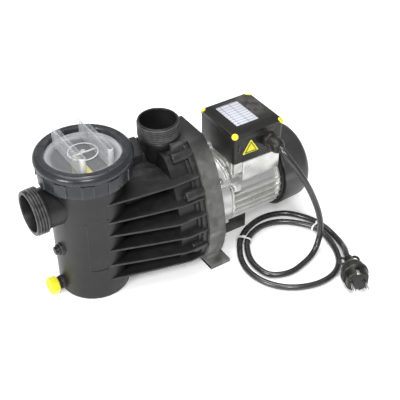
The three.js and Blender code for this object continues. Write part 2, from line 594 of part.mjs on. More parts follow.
// ---------------------------------------------------------------- mains cord
const CORD = [
  [275, -38.5, 167.5], [275, -58, 167.5], [275, -78, 167.5], [278.5, -90, 158],
  [288, -101, 139.5], [299, -111, 116], [309.5, -119, 88], [316.5, -125.5, 61],
  [317.5, -130.5, 40], [313.5, -134.5, 22], [304, -139.5, 9], [290, -146, 5], [269, -153, 5],
  [248, -157, 5], [229, -154, 5], [214, -144, 5], [208, -127, 5], [209, -104, 5],
  [218, -82, 6], [229, -67, 6.6], [249, -54, 5.4], [272, -49, 5], [293, -53, 5],
  [311, -64, 5], [325, -80, 5.8], [335.5, -98, 6.6], [339, -119, 5.4], [335, -142, 5],
  [328, -162, 5], [318, -178, 5], [304, -190, 5], [286, -197, 5], [264, -198, 5],
  [243, -193, 5], [222, -182, 5], [206, -166, 5], [195, -144, 5], [192, -119, 5],
  [198, -94, 5], [208.5, -75, 6], [221.3, -58.8, 6.6], [249, -40.5, 5.4], [277, -33, 5],
  [300, -35, 5], [320, -44, 5], [336, -62, 5], [346, -84, 6], [350, -107, 6.4],
  [349.5, -130, 6], [344, -153, 9], [334.5, -171, 16], [325.5, -184.5, 20.2],
  [322.2, -191, 20.9]];

function cord() {
  const curve = new THREE.CatmullRomCurve3(CORD.map((p) => new THREE.Vector3(...p)), false,
    'centripetal');
  const s = new THREE.Shape();
  s.absarc(0, 0, CORD_R, 0, 2 * Math.PI, false);
  const g = new THREE.ExtrudeGeometry(s, { steps: 70, curveSegments: 4, extrudePath: curve,
    bevelEnabled: false });
  put('mains_cord', solid(g), 0x2b2d30, 0.35);
}

function tie(name, a, b) {                           // a flat band round two strands
  const [dx, dy] = [b[0] - a[0], b[1] - a[1]];
  const L = Math.hypot(dx, dy);
  const loop = (r) => {
    const pts = [];
    for (let i = 0; i <= 10; i++) {
      const t = -Math.PI / 2 + (i / 10) * Math.PI;
      pts.push([L / 2 + r * Math.cos(t), r * Math.sin(t)]);
    }
    for (let i = 0; i <= 10; i++) {
      const t = Math.PI / 2 + (i / 10) * Math.PI;
      pts.push([-L / 2 + r * Math.cos(t), r * Math.sin(t)]);
    }
    return pts;
  };
  const m = slab(loop(CORD_R + 1.6), -1.5, 1.5, 'x').subtract(slab(loop(CORD_R + 0.8), -3, 3, 'x'));
  const deg = (Math.atan2(dy, dx) * 180) / Math.PI - 90;
  put(name, m.rotate([0, 0, deg]).translate([(a[0] + b[0]) / 2, (a[1] + b[1]) / 2, 6.7]),
    0xe9e9e6, 0.5);
}

const PLUG = { x: 321.6, y: -192.2, z: 21.2, dx: -0.42, dy: -0.9075 };   // cable entry, heading

function plug() {
  const deg = (Math.atan2(PLUG.dy, PLUG.dx) * 180) / Math.PI;
  const place = (m) => m.rotate([0, 0, deg]).translate([PLUG.x, PLUG.y, PLUG.z]);
  let m = rev([[0, 0], [6.6, 0], [7.4, 8], [9, 14], [15, 19], [17.2, 24], [17.6, 30], [20.6, 31.5],
    [20.6, 37.5], [18.6, 38.5], [18, 52], [0, 52]], 32, 'x');
  for (const s of [-1, 1]) {
    m = m.subtract(box(39.5, 53, -3.4, 3.4, s > 0 ? 14.4 : -19, s > 0 ? 19 : -14.4));
    m = m.subtract(cyl(2.75, 44, 53, 12, 'x', [0, s * 9.5, 0]));
  }
  m = m.subtract(cyl(5.2, -1, 5, 16, 'x'));
  put('plug_body', place(m), 0x1a1b1d, 0.5);
  for (const s of [-1, 1]) {
    put(`plug_pin_${s < 0 ? 1 : 2}`, place(rev([[0, 44.4], [2.4, 44.4], [2.4, 69], [1.4, 71],
      [0, 71]], 14, 'x', [0, s * 9.5, 0])), 0xd6d8da, 0.2, 1);
  }
}

strainerPot();
suctionStub();
outletNeck();
pumpHousing();
lockRing();
clearLid();
ringSeal('lid_seal', 54.2, 0.8, 48, 'z', [0, 0, 212.6]);
basket();
basketHandle();
drainPlug();
gaugePlug();
rearCasing();
ringSeal('casing_seal', 60.4, 1.2, 44, 'x', [143.7, 0, Z_AX]);
casingBolts();
impeller();
shaftSeal();
shaft();
bearing('front_bearing', 194.4, 205.4);
bearing('rear_bearing', 288.8, 299.8);
motorBracket();
statorHousing();
motorCore();
rearShield();
fan();
fanCowl();
motorSupport();
terminalBox();
boxInside();
gland();
cord();
tie('cord_tie_1', [229, -67], [221.3, -58.8]);
tie('cord_tie_2', [335.5, -98], [348.6, -95.4]);
plug();

export default group;
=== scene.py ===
from math import atan2, cos, hypot, pi, radians, sin

import bmesh
import bpy
from mathutils import Matrix, Vector


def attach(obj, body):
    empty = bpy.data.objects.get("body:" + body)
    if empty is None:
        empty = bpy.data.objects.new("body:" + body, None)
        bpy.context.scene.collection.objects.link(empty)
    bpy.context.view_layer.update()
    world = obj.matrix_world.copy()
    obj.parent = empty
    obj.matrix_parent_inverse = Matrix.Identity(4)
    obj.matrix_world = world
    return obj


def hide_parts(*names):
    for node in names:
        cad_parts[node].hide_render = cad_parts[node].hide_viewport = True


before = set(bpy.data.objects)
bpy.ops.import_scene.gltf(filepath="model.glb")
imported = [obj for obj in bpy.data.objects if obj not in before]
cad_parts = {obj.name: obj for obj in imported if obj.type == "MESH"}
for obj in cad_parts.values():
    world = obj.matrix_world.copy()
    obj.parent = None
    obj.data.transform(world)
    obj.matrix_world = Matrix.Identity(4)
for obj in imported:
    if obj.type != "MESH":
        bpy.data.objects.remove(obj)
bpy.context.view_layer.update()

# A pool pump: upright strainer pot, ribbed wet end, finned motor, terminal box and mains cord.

MM = 0.001

# ------------------------------------------------------------------ sizes, in millimetres
AXIS_Z = 79                      # height of the shaft
BARREL_R, NECK_R = 52.6, 58.2
RING_R, RING_TOP, RING_BOTTOM, RING_OPEN_R = 67.5, 227.7, 193, 52.5
SUCTION_Z, SUCTION_R, SUCTION_BORE = 156.6, 32.7, 26.5
OUT_X, OUT_Y, OUT_TOP, OUT_R, OUT_BORE = 120.2, 7.5, 229.2, 29.8, 25.8
DECK_Z = 204                     # top of the discharge block
SPLIT_X, CASING_X, JOINT_X, STATOR_END = 145, 172, 207, 296.7
MOTOR_R, COWL_X0, COWL_X1, COWL_R = 57, 302, 353, 63
BOX_X0, BOX_X1, BOX_Y, BOX_Z0, BOX_Z1, LID_Z = 214.2, 301.9, 44.7, 143, 191.7, 186.6
GLAND_X, GLAND_Z = 275, 167.5
CORD_R = 4.65
TIE_R, TIE_THICK = CORD_R + 1.6, 0.8      # outer radius of a tie round one strand, its wall
RIBS = [(165, 65, 97), (134, 77, 112), (111, 84, 100), (84.5, 88, 114), (57, 87.5, 112),
        (31, 80.5, 118)]         # height, half width, x of the bend
FLANGE = [(8, 63), (15, 72), (31, 81), (45, 85.5), (60, 87.8), (75, 88.5), (90, 87.5),
          (111, 83.5), (134, 77.5), (150, 71.5), (165, 65), (182, 54.5), (195, 41),
          (DECK_Z, 29)]          # height, half width
BOLTS = [(36, 188, 113), (67, 141, 116), (76, 53, 121)]      # y, z, front end of the boss
CORD = [
    (275, -38.5, 167.5), (275, -58, 167.5), (275, -78, 167.5), (278.5, -90, 158),
    (288, -101, 139.5), (299, -111, 116), (309.5, -119, 88), (316.5, -125.5, 61),
    (317.5, -130.5, 40), (313.5, -134.5, 22), (304, -139.5, 9), (290, -146, 5), (269, -153, 5),
    (248, -157, 5), (229, -154, 5), (214, -144, 5), (208, -127, 5), (209, -104, 5),
    (218, -82, 6), (229, -67, 6.6), (249, -54, 5.4), (272, -49, 5), (293, -53, 5),
    (311, -64, 5), (325, -80, 5.8), (335.5, -98, 6.6), (339, -119, 5.4), (335, -142, 5),
    (328, -162, 5), (318, -178, 5), (304, -190, 5), (286, -197, 5), (264, -198, 5),
    (243, -193, 5), (222, -182, 5), (206, -166, 5), (195, -144, 5), (192, -119, 5),
    (198, -94, 5), (208.5, -75, 6), (221.3, -58.8, 6.6), (249, -40.5, 5.4), (277, -33, 5),
    (300, -35, 5), (320, -44, 5), (336, -62, 5), (346, -84, 6), (350, -107, 6.4),
    (349.5, -130, 6), (344, -153, 9), (334.5, -171, 16), (325.5, -184.5, 20.2),
    (322.2, -191, 20.9)]
PLUG = (321.6, -192.2, 21.2)     # where the cord enters the plug
PLUG_TURN = atan2(-0.9075, -0.42)

# ------------------------------------------------------------------ camera
AZIMUTH, ELEVATION = radians(-33.03), radians(38.68)
camera = bpy.data.objects.new("camera", bpy.data.cameras.new("camera"))
bpy.context.scene.collection.objects.link(camera)
camera.data.lens, camera.data.sensor_width = 78.2, 36
camera.location = (-0.38107, -0.87065, 0.89294)
camera.rotation_euler = (pi / 2 - ELEVATION, 0, AZIMUTH)
bpy.context.scene.camera = camera


# ------------------------------------------------------------------ modelling by hand
def clear():
    if bpy.context.mode != "OBJECT":
        bpy.ops.object.mode_set(mode="OBJECT")
    bpy.ops.object.select_all(action="DESELECT")


def choose(o):
    clear()
    o.select_set(True)
    bpy.context.view_layer.objects.active = o
    return o


def named(name):
    o = bpy.context.object
    o.name = o.data.name = name
    return o


def edit(o):
    choose(o)
    bpy.ops.object.mode_set(mode="EDIT")
    bpy.ops.mesh.select_all(action="SELECT")


def tidy(o):
    """close the seams, point the faces outwards and leave edit mode"""
    if bpy.context.mode == "OBJECT":
        edit(o)
    bpy.ops.mesh.select_all(action="SELECT")
    bpy.ops.mesh.remove_doubles(threshold=1e-6)
    bpy.ops.mesh.normals_make_consistent(inside=False)
    bpy.ops.object.mode_set(mode="OBJECT")
    return o


def pick(o, kind, test):
    """in edit mode, select the faces, edges or vertices whose middle passes test"""
    bpy.ops.mesh.select_mode(type=kind)
    bpy.ops.mesh.select_all(action="DESELECT")
    bm = bmesh.from_edit_mesh(o.data)
    for e in {"VERT": bm.verts, "EDGE": bm.edges, "FACE": bm.faces}[kind]:
        c = e.co if kind == "VERT" else sum((v.co for v in e.verts), Vector()) / len(e.verts)
        if test(c / MM, e):
            e.select_set(True)
    bm.select_flush_mode()
    bmesh.update_edit_mesh(o.data)


def placed(o, turn=(0, 0, 0), at=(0, 0, 0)):
    """turn and move the mesh, so that the object itself stays at the origin"""
    choose(o)
    o.rotation_euler = turn
    o.location = [c * MM for c in at]
    bpy.ops.object.transform_apply(location=True, rotation=True, scale=True)
    return o


TURNS = {"z": (0, 0, 0), "x": (0, pi / 2, 0), "-x": (0, -pi / 2, 0), "y": (-pi / 2, 0, 0),
         "-y": (pi / 2, 0, 0)}


def turned(name, profile, axis="z", at=(0, 0, 0), n=96, solid=True):
    """a circle extruded and scaled up a profile of (radius, height); a ring if not solid"""
    clear()
    steps = profile if solid else [*profile, profile[0]]
    r, h = steps[0]
    bpy.ops.mesh.primitive_circle_add(vertices=n, radius=r * MM, location=(0, 0, h * MM),
                                      fill_type="NGON" if solid else "NOTHING")
    o = named(name)
    bpy.ops.object.transform_apply(location=True)
    edit(o)
    bpy.ops.mesh.select_mode(type="EDGE")
    for r1, h1 in steps[1:]:
        bpy.ops.mesh.extrude_edges_move(
            TRANSFORM_OT_translate={"value": (0, 0, (h1 - h) * MM)})
        bpy.ops.transform.resize(value=(r1 / r, r1 / r, 1), center_override=(0, 0, h1 * MM))
        r, h = r1, h1
    if solid:
        bpy.ops.mesh.edge_face_add()
    tidy(o)
    return placed(o, TURNS[axis], at)


def drawn(name, points):
    """a flat face with each corner moved to its place"""
    clear()
    bpy.ops.mesh.primitive_circle_add(vertices=len(points), radius=MM, fill_type="NGON")
    o = named(name)
    edit(o)
    bpy.ops.mesh.select_mode(type="VERT")
    for i, (u, v) in enumerate(points):
        bpy.ops.mesh.select_all(action="DESELECT")
        bm = bmesh.from_edit_mesh(o.data)
        bm.verts.ensure_lookup_table()
        bm.verts[i].select_set(True)
        bpy.ops.transform.translate(value=Vector((u * MM, v * MM, 0)) - bm.verts[i].co)
    return o


def plate(name, points, h0, h1, axis="z"):
    """a drawn face extruded from h0 to h1; points are x, y for z, y, z for x and x, z for -y"""
    o = drawn(name, points)
    bpy.ops.mesh.select_all(action="SELECT")
    bpy.ops.mesh.extrude_region_move(
        TRANSFORM_OT_translate={"value": (0, 0, (h1 - h0) * MM)})
    tidy(o)
    placed(o, at=(0, 0, h0))
    return placed(o, {"z": (0, 0, 0), "x": (pi / 2, 0, pi / 2), "-y": (pi / 2, 0, 0)}[axis])


def block(name, x0, x1, y0, y1, z0, z1):
    clear()
    bpy.ops.mesh.primitive_cube_add(
        size=1, location=((x0 + x1) * MM / 2, (y0 + y1) * MM / 2, (z0 + z1) * MM / 2),
        scale=((x1 - x0) * MM, (y1 - y0) * MM, (z1 - z0) * MM))
    o = named(name)
    bpy.ops.object.transform_apply(location=True, rotation=True, scale=True)
    return o


def apply(o, kind, **settings):
    choose(o)
    bpy.ops.object.modifier_add(type=kind)
    m = o.modifiers[-1]
    for key, value in settings.items():
        setattr(m, key, value)
    bpy.ops.object.modifier_apply(modifier=m.name)
    return o


def soften(o, width=0.6, segments=2, angle=32, smooth=38):
    """round the edges sharper than angle and shade the rest smooth"""
    if width:
        apply(o, "BEVEL", width=width * MM, segments=segments, limit_method="ANGLE",
              angle_limit=radians(angle), use_clamp_overlap=True)
    choose(o)
    bpy.ops.object.shade_smooth_by_angle(angle=radians(smooth))
    return o


def joined(name, parts):
    clear()
    for p in parts:
        p.select_set(True)
    bpy.context.view_layer.objects.active = parts[0]
    if len(parts) > 1:
        bpy.ops.object.join()
    return named(name)


def cut(o, tools, how="DIFFERENCE"):
    tool = joined("tool", tools)
    apply(o, "BOOLEAN", operation=how, solver="EXACT", use_self=len(tools) > 1, object=tool)
    bpy.data.objects.remove(tool)
    return o


def copied(o, name, turn=0, centre=(0, 0, 0), axis=(1, 0, 0)):
    """a copy with its own mesh, turned in degrees about an axis through centre"""
    choose(o)
    bpy.ops.object.duplicate()
    c = named(name)
    c.data.name = name
    at = Matrix.Translation(Vector(centre) * MM)
    c.matrix_world = at @ Matrix.Rotation(radians(turn), 4, Vector(axis)) @ at.inverted()
    bpy.ops.object.transform_apply(location=True, rotation=True, scale=True)
    return c


def piece(o, body, slot, finish, *nodes):
    """its finish, the body it moves with, and the solids it stands for"""
    o.data.materials.clear()
    o.data.materials.append(finish)
    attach(o, body)
    if nodes:
        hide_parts(*nodes)
    return o


def thread(name, r, depth, pitch, h0, turns, axis="z", at=(0, 0, 0)):
    """one ridge wound round a neck of radius r - depth"""
    w = pitch / 2
    section = drawn(name, [(r - depth - 0.4, -0.96 * w), (r, -0.3 * w), (r, 0.3 * w),
                           (r - depth - 0.4, 0.96 * w)])
    bpy.ops.mesh.select_all(action="SELECT")
    bpy.ops.mesh.delete(type="ONLY_FACE")
    bpy.ops.object.mode_set(mode="OBJECT")
    placed(section, (pi / 2, 0, 0), (0, 0, h0))
    apply(section, "SCREW", axis="Z", steps=64, render_steps=64, iterations=turns,
          screw_offset=pitch * MM, use_merge_vertices=False, use_smooth_shade=True)
    edit(section)
    bpy.ops.mesh.fill_holes(sides=4)
    tidy(section)
    placed(section, TURNS[axis], at)
    return soften(section, 0, smooth=35)


def rounded_box(x0, x1, y0, y1, r, n=6):
    pts = []
    for cx, cy, a0 in ((x1 - r, y0 + r, -90), (x1 - r, y1 - r, 0), (x0 + r, y1 - r, 90),
                       (x0 + r, y0 + r, 180)):
        for i in range(n + 1):
            a = radians(a0 + 90 * i / n)
            pts.append((cx + r * cos(a), cy + r * sin(a)))
    return pts


def flange_width(z):
    for (za, wa), (zb, wb) in zip(FLANGE, FLANGE[1:]):
        if z <= zb:
            return wa + (z - za) / (zb - za) * (wb - wa)
    return FLANGE[-1][1]


def outline(off, step=4):
    """the tall rounded casing outline, drawn inwards by off, as (y, z)"""
    lo, hi = FLANGE[0][0] + off, DECK_Z - off
    count = round((hi - lo) / step)
    zs = [lo + (hi - lo) * i / count for i in range(count + 1)]
    smooth = [sum(flange_width(min(max(z + d, FLANGE[0][0]), DECK_Z)) for d in (-4, 0, 4)) / 3
              for z in zs]
    smooth[0], smooth[-1] = flange_width(lo) - off * 0.9, flange_width(hi) - off * 0.9
    right = [(w - off, z) for w, z in zip(smooth, zs)]
    right[0] = (smooth[0], lo)
    right[-1] = (smooth[-1], hi)
    return right + [(-w, z) for w, z in reversed(right)]


# ------------------------------------------------------------------ finishes
def ramp(nt, source, stops, name="ramp"):
    node = nt.nodes.new("ShaderNodeValToRGB")
    node.label = name
    els = node.color_ramp.elements
    while len(els) < len(stops):
        els.new(0.5)
    for el, (pos, value) in zip(els, stops):
        el.position = pos
        v = value if isinstance(value, tuple) else (value,) * 3
        el.color = (*v, 1)
    nt.links.new(source, node.inputs[0])
    return node.outputs[0]


def noise(nt, coord, scale, detail=4, roughness=0.55):
    node = nt.nodes.new("ShaderNodeTexNoise")
    node.inputs["Scale"].default_value = scale
    node.inputs["Detail"].default_value = detail
    node.inputs["Roughness"].default_value = roughness
    nt.links.new(coord, node.inputs["Vector"])
    return node.outputs["Fac"]


def blend(nt, fac, a, b, mode="MIX"):
    node = nt.nodes.new("ShaderNodeMix")
    node.data_type, node.blend_type = "RGBA", mode
    if isinstance(fac, float):
        node.inputs[0].default_value = fac
    else:
        nt.links.new(fac, node.inputs[0])
    for socket, value in ((node.inputs[6], a), (node.inputs[7], b)):
        if isinstance(value, tuple):
            socket.default_value = (*value, 1)
        else:
            nt.links.new(value, socket)
    return node.outputs[2]


def finish(name, dark, light, rough=(0.4, 0.55), metal=0.0, cloud=14, grain=1400, bump=0.12,
           grain_mm=0.05, edge_wear_and_highlight=None, specular=0.5):
    """moulded or cast surface: a slow change of tone, fine grain, and paler edges: rubbed edges,
    and on the clear lid a painted highlight along the edges
    """
    mat = bpy.data.materials.new(name)
    mat.use_nodes = True
    nt = mat.node_tree
    shader = nt.nodes["Principled BSDF"]
    coord = nt.nodes.new("ShaderNodeTexCoord").outputs["Object"]
    slow = noise(nt, coord, cloud)
    fine = noise(nt, coord, grain, 3)
    colour = ramp(nt, slow, [(0.35, dark), (0.65, light)], "tone")
    speck = ramp(nt, fine, [(0.3, 0.86), (0.7, 1.0)], "speck")
    colour = blend(nt, 1.0, colour, speck, "MULTIPLY")
    if edge_wear_and_highlight:
        # paler edges: rubbed edges on most finishes, a painted highlight on the clear lid
        edge = nt.nodes.new("ShaderNodeNewGeometry").outputs["Pointiness"]
        edge_wear_and_highlight_mask = ramp(nt, edge, [(0.52, 0.0), (0.6, 1.0)], "edges")
        patch = ramp(nt, noise(nt, coord, cloud * 6), [(0.35, 0.25), (0.65, 0.9)], "patches")
        colour = blend(nt, blend(nt, 1.0, edge_wear_and_highlight_mask, patch, "MULTIPLY"), colour, edge_wear_and_highlight)
    nt.links.new(colour, shader.inputs["Base Color"])
    nt.links.new(ramp(nt, noise(nt, coord, cloud * 3), [(0.3, rough[0]), (0.7, rough[1])],
                      "gloss"), shader.inputs["Roughness"])
    shader.inputs["Metallic"].default_value = metal
    shader.inputs["Specular IOR Level"].default_value = specular
    lumps = nt.nodes.new("ShaderNodeBump")
    lumps.inputs["Strength"].default_value = bump
    lumps.inputs["Distance"].default_value = grain_mm * MM
    nt.links.new(fine, lumps.inputs["Height"])
    nt.links.new(lumps.outputs["Normal"], shader.inputs["Normal"])
    return mat


HOUSING = finish("moulded_housing", (0.009, 0.009, 0.009), (0.016, 0.016, 0.016), (0.34, 0.44),
                 bump=0.3, edge_wear_and_highlight=(0.10, 0.10, 0.10), grain=900, grain_mm=0.08,
                 specular=0.4)
CASING = finish("mottled_casing", (0.050, 0.050, 0.048), (0.125, 0.124, 0.118), (0.40, 0.56),
                bump=0.35, cloud=55, edge_wear_and_highlight=(0.2, 0.2, 0.195), grain=900, grain_mm=0.09)
RING = finish("satin_ring", (0.011, 0.012, 0.015), (0.017, 0.018, 0.022), (0.22, 0.32),
              bump=0.12, edge_wear_and_highlight=(0.10, 0.105, 0.115), specular=0.42)
BLACK = finish("black_moulding_and_painted_shade", (0.006, 0.006, 0.006), (0.012, 0.011, 0.010), (0.30, 0.42),
               bump=0.25, edge_wear_and_highlight=(0.08, 0.078, 0.075), specular=0.4)
COWL = finish("cowl_moulding", (0.018, 0.018, 0.019), (0.028, 0.028, 0.029), (0.34, 0.44),
              bump=0.25, edge_wear_and_highlight=(0.10, 0.10, 0.10))
YELLOW = finish("yellow_moulding", (0.80, 0.74, 0.010), (0.90, 0.85, 0.020), (0.3, 0.42),
                bump=0.1, edge_wear_and_highlight=(0.95, 0.93, 0.25))
HANDLE = finish("basket_handle_yellow", (0.62, 0.52, 0.02), (0.72, 0.62, 0.04), (0.35, 0.45))
BASKET = finish("basket_grey", (0.50, 0.51, 0.53), (0.60, 0.61, 0.63), (0.4, 0.5))
RUBBER = finish("seal_rubber", (0.010, 0.010, 0.010), (0.018, 0.018, 0.018), (0.6, 0.75),
                bump=0.3)
ALLOY = finish("cast_alloy", (0.60, 0.60, 0.58), (0.76, 0.76, 0.73), (0.26, 0.38), metal=0.75,
               bump=0.4, grain=700, grain_mm=0.10, edge_wear_and_highlight=(0.96, 0.96, 0.94))
STEEL = finish("zinc_steel", (0.55, 0.56, 0.56), (0.72, 0.73, 0.73), (0.18, 0.3), metal=1.0,
               edge_wear_and_highlight=(0.85, 0.85, 0.84))
CORE = finish("varnished_core", (0.10, 0.10, 0.105), (0.18, 0.18, 0.185), (0.4, 0.55), metal=0.8,
              grain=2000, bump=0.4)
COPPER = finish("copper_winding", (0.38, 0.13, 0.05), (0.52, 0.20, 0.08), (0.35, 0.5), metal=0.7,
                grain=1800, bump=0.6)
INNER = finish("inner_moulding", (0.24, 0.24, 0.25), (0.33, 0.33, 0.34), (0.4, 0.5))
CERAMIC = finish("pale_ceramic", (0.70, 0.68, 0.63), (0.80, 0.78, 0.74), (0.2, 0.3))
SHEATH = finish("cord_sheath", (0.014, 0.014, 0.015), (0.022, 0.022, 0.023), (0.22, 0.30),
                bump=0.15, cloud=40, specular=0.8)
WHITE = finish("tie_white", (0.78, 0.78, 0.76), (0.88, 0.88, 0.86), (0.35, 0.45))
# the pale edge colour of the clear lid is a painted highlight along its edges
CLEAR = finish("clear_moulding", (0.74, 0.75, 0.78), (0.90, 0.91, 0.94), (0.03, 0.08), cloud=22,
               bump=0.03, edge_wear_and_highlight=(0.98, 0.99, 1.0))


def see_through(mat, face, edge):
    """thin the flats down to face, and leave the edges more solid, so that their pale colour shows
    as a painted highlight
    """
    nt = mat.node_tree
    sharp = nt.nodes.new("ShaderNodeNewGeometry").outputs["Pointiness"]
    # painted highlight: the edges are made more opaque, so that their pale colour shows as bright
    # lines
    nt.links.new(ramp(nt, sharp, [(0.505, face), (0.56, edge)], "thickness"),
                 nt.nodes["Principled BSDF"].inputs["Alpha"])


see_through(CLEAR, 0.10, 0.7)


def paint_top_shade(mat, z0, z1):
    """painted shade: a darker tone towards the top of the part"""
    nt = mat.node_tree
    base = nt.nodes["Principled BSDF"].inputs["Base Color"]
    parts = nt.nodes.new("ShaderNodeSeparateXYZ")
    nt.links.new(nt.nodes.new("ShaderNodeTexCoord").outputs["Object"], parts.inputs[0])
    height = nt.nodes.new("ShaderNodeMapRange")
    height.inputs["From Min"].default_value = z0 * MM
    height.inputs["From Max"].default_value = z1 * MM
    nt.links.new(parts.outputs["Z"], height.inputs["Value"])
    nt.links.new(blend(nt, height.outputs[0], base.links[0].from_socket, (0.014, 0.014, 0.014)),
                 base)


# painted shade across the top of the rear casing
paint_top_shade(CASING, 178, 199)


def ruled_plate():
    """a pale blank plate with thin printed rules"""
    mat = finish("silver_plate", (0.50, 0.52, 0.58), (0.62, 0.64, 0.70), (0.35, 0.5))
    nt = mat.node_tree
    shader = nt.nodes["Principled BSDF"]
    base = shader.inputs["Base Color"].links[0].from_socket
    coord = nt.nodes.new("ShaderNodeTexCoord").outputs["Object"]
    rules = nt.nodes.new("ShaderNodeTexBrick")
    rules.offset = 0.0
    for key, value in (("Scale", 1.0), ("Mortar Size", 0.0005), ("Mortar Smooth", 0.0),
                       ("Brick Width", 0.016), ("Row Height", 0.0062)):
        rules.inputs[key].default_value = value
    for key in ("Color1", "Color2"):
        rules.inputs[key].default_value = (1, 1, 1, 1)
    rules.inputs["Mortar"].default_value = (0.35, 0.36, 0.40, 1)
    nt.links.new(coord, rules.inputs["Vector"])
    nt.links.new(blend(nt, 1.0, base, rules.outputs["Color"], "MULTIPLY"),
                 shader.inputs["Base Color"])
    return mat


PLATE = ruled_plate()
AX = (0, 0, AXIS_Z)


# ------------------------------------------------------------------ mains cord
def between(u, v, s, ta, tb):
    """the point at s on a straight run from u at ta to v at tb"""
    return u * ((tb - s) / (tb - ta)) + v * ((s - ta) / (tb - ta))


def smooth_route(points, per_span=6):
    """a centripetal curve through the points, as the solid cord's"""
    p = [Vector(q) for q in points]
    p = [2 * p[0] - p[1], *p, 2 * p[-1] - p[-2]]
    out = []
    for a, b, c, d in zip(p, p[1:], p[2:], p[3:]):
        t = [0.0]
        for u, v in ((a, b), (b, c), (c, d)):
            t.append(t[-1] + max((v - u).length ** 0.5, 1e-4))
        for i in range(per_span):
            s = t[1] + (t[2] - t[1]) * i / per_span
            ab, bc, cd = (between(u, v, s, *span) for u, v, span in
                          ((a, b, t[0:2]), (b, c, t[1:3]), (c, d, t[2:4])))
            first, last = between(ab, bc, s, t[0], t[2]), between(bc, cd, s, t[1], t[3])
            out.append(between(first, last, s, t[1], t[2]))
    return [q * MM for q in [*out, p[-2]]]


def mains_cord():
    route = smooth_route(CORD)
    line = bpy.data.curves.new("mains_lead", "CURVE")
    line.dimensions, line.bevel_depth, line.bevel_resolution = "3D", CORD_R * MM, 5
    line.use_fill_caps = True
    spline = line.splines.new("POLY")
    spline.points.add(len(route) - 1)
    for point, q in zip(spline.points, route):
        point.co = (*q, 1)
    spline.use_smooth = True
    lead = bpy.data.objects.new("mains_lead", line)
    bpy.context.scene.collection.objects.link(lead)
    piece(lead, "pump", "cord_sheath", SHEATH, "mains_cord")
    length = sum((b - a).length for a, b in zip(route, route[1:]))
    return lead, length


def cord_tie(name, a, b, node):
    """a flat band round two strands, with its lock and a cut tail"""
    dx, dy = b[0] - a[0], b[1] - a[1]
    half = hypot(dx, dy) / 2
    loop = []
    for side in (1, -1):
        for i in range(13):
            t = -pi / 2 + i / 12 * pi
            loop.append((side * (half + TIE_R * cos(t)), side * TIE_R * sin(t)))
    band = plate(name, loop, -1.5, 1.5, "x")
    inner = [(u * (1 - TIE_THICK / (half + TIE_R)), v * (1 - TIE_THICK / TIE_R))
             for u, v in loop]
    cut(band, [plate("inside", inner, -3, 3, "x")])
    lock = block("lock", -2.4, 2.4, -3, 3, CORD_R + 1.3, CORD_R + 4)
    tail = block("tail", -1.3, 1.3, 2, 9, CORD_R + 2, CORD_R + 2.9)
    band = joined(name, [soften(band, 0.2), soften(lock, 0.6), soften(tail, 0.25)])
    placed(band, (0, 0, atan2(dy, dx) - pi / 2), ((a[0] + b[0]) / 2, (a[1] + b[1]) / 2, 6.7))
    return piece(band, "pump", "tie_white", WHITE, node)


def mains_plug():
    """round earthed plug: eyelets at the cord end, collar, flats with earth contacts"""
    body = turned("plug_moulding", [(5.4, 0.2), (6.6, 0.4), (7.4, 8), (9, 14), (15, 19), (17.2, 24),
                                    (17.6, 30), (20.2, 31.5), (20.6, 32.5), (20.6, 36.5),
                                    (20, 37.6), (18.6, 38.5), (18.2, 50.6), (17, 52)], "x", n=72)
    tools = []
    for s in (-1, 1):
        z = sorted((14.4 * s, 22 * s))
        tools.append(block("earth_slot", 40, 54, -3.4, 3.4, z[0], z[1]))
        y = sorted((15.2 * s, 22 * s))
        tools.append(block("side_flat", 39.5, 54, y[0], y[1], -9, 9))
    cut(body, tools)
    soften(body, 0.5, smooth=30)
    rings = []
    for s in (-1, 1):
        clear()
        bpy.ops.mesh.primitive_torus_add(major_segments=32, minor_segments=10, major_radius=0.0052,
                                         minor_radius=0.0015, location=(0.0055, s * 0.0098, 0))
        rings.append(named("eyelet"))
        bpy.ops.object.transform_apply(location=True)
        edit(rings[-1])
        bpy.ops.transform.resize(value=(1.25, 1, 1.5), center_override=(0.0055, s * 0.0098, 0))
        bpy.ops.object.mode_set(mode="OBJECT")
        soften(rings[-1], 0)
    ribs = [soften(turned("grip_rib", [(r, x), (r + 0.9, x + 0.7), (r, x + 1.4)], "x", n=40,
                          solid=False), 0) for r, x in ((16.2, 22), (16.9, 25), (17, 28))]
    body = joined("plug_moulding", [body, *rings, *ribs])
    placed(body, (0, 0, PLUG_TURN), PLUG)
    piece(body, "pump", "black_plastic", BLACK, "plug_body")
    parts = [body]
    clips = []
    for s in (-1, 1):
        z = sorted((14.6 * s, 15.6 * s))
        clips.append(soften(block("earth_clip", 41, 51.8, -2.4, 2.4, z[0], z[1]), 0.3))
    clips = placed(joined("earth_clips", clips), (0, 0, PLUG_TURN), PLUG)
    parts.append(piece(clips, "pump", "bright_steel", STEEL))
    for s, node in ((-1, "plug_pin_1"), (1, "plug_pin_2")):
        pin = turned(node.replace("plug_pin", "contact_pin"),
                     [(2.4, 48), (2.4, 69), (2, 70.2), (1.2, 71)], "x", (0, s * 9.5, 0), n=32)
        soften(pin, 0.2)
        placed(pin, (0, 0, PLUG_TURN), PLUG)
        parts.append(piece(pin, "pump", "bright_steel", STEEL, node))
        sleeve = soften(turned("pin_sleeve", [(2.9, 51), (2.9, 53.2), (2.5, 53.6)], "x",
                               (0, s * 9.5, 0), n=32), 0.2)
        sleeve.name = f"pin_sleeve_{1 if s < 0 else 2}"
        placed(sleeve, (0, 0, PLUG_TURN), PLUG)
        parts.append(piece(sleeve, "pump", "black_plastic", BLACK))
    return parts


lead, lead_length = mains_cord()
ties = [cord_tie("cord_tie_left", (229, -67), (221.3, -58.8), "cord_tie_1"),
        cord_tie("cord_tie_right", (335.5, -98), (348.6, -95.4), "cord_tie_2")]
plug_parts = mains_plug()


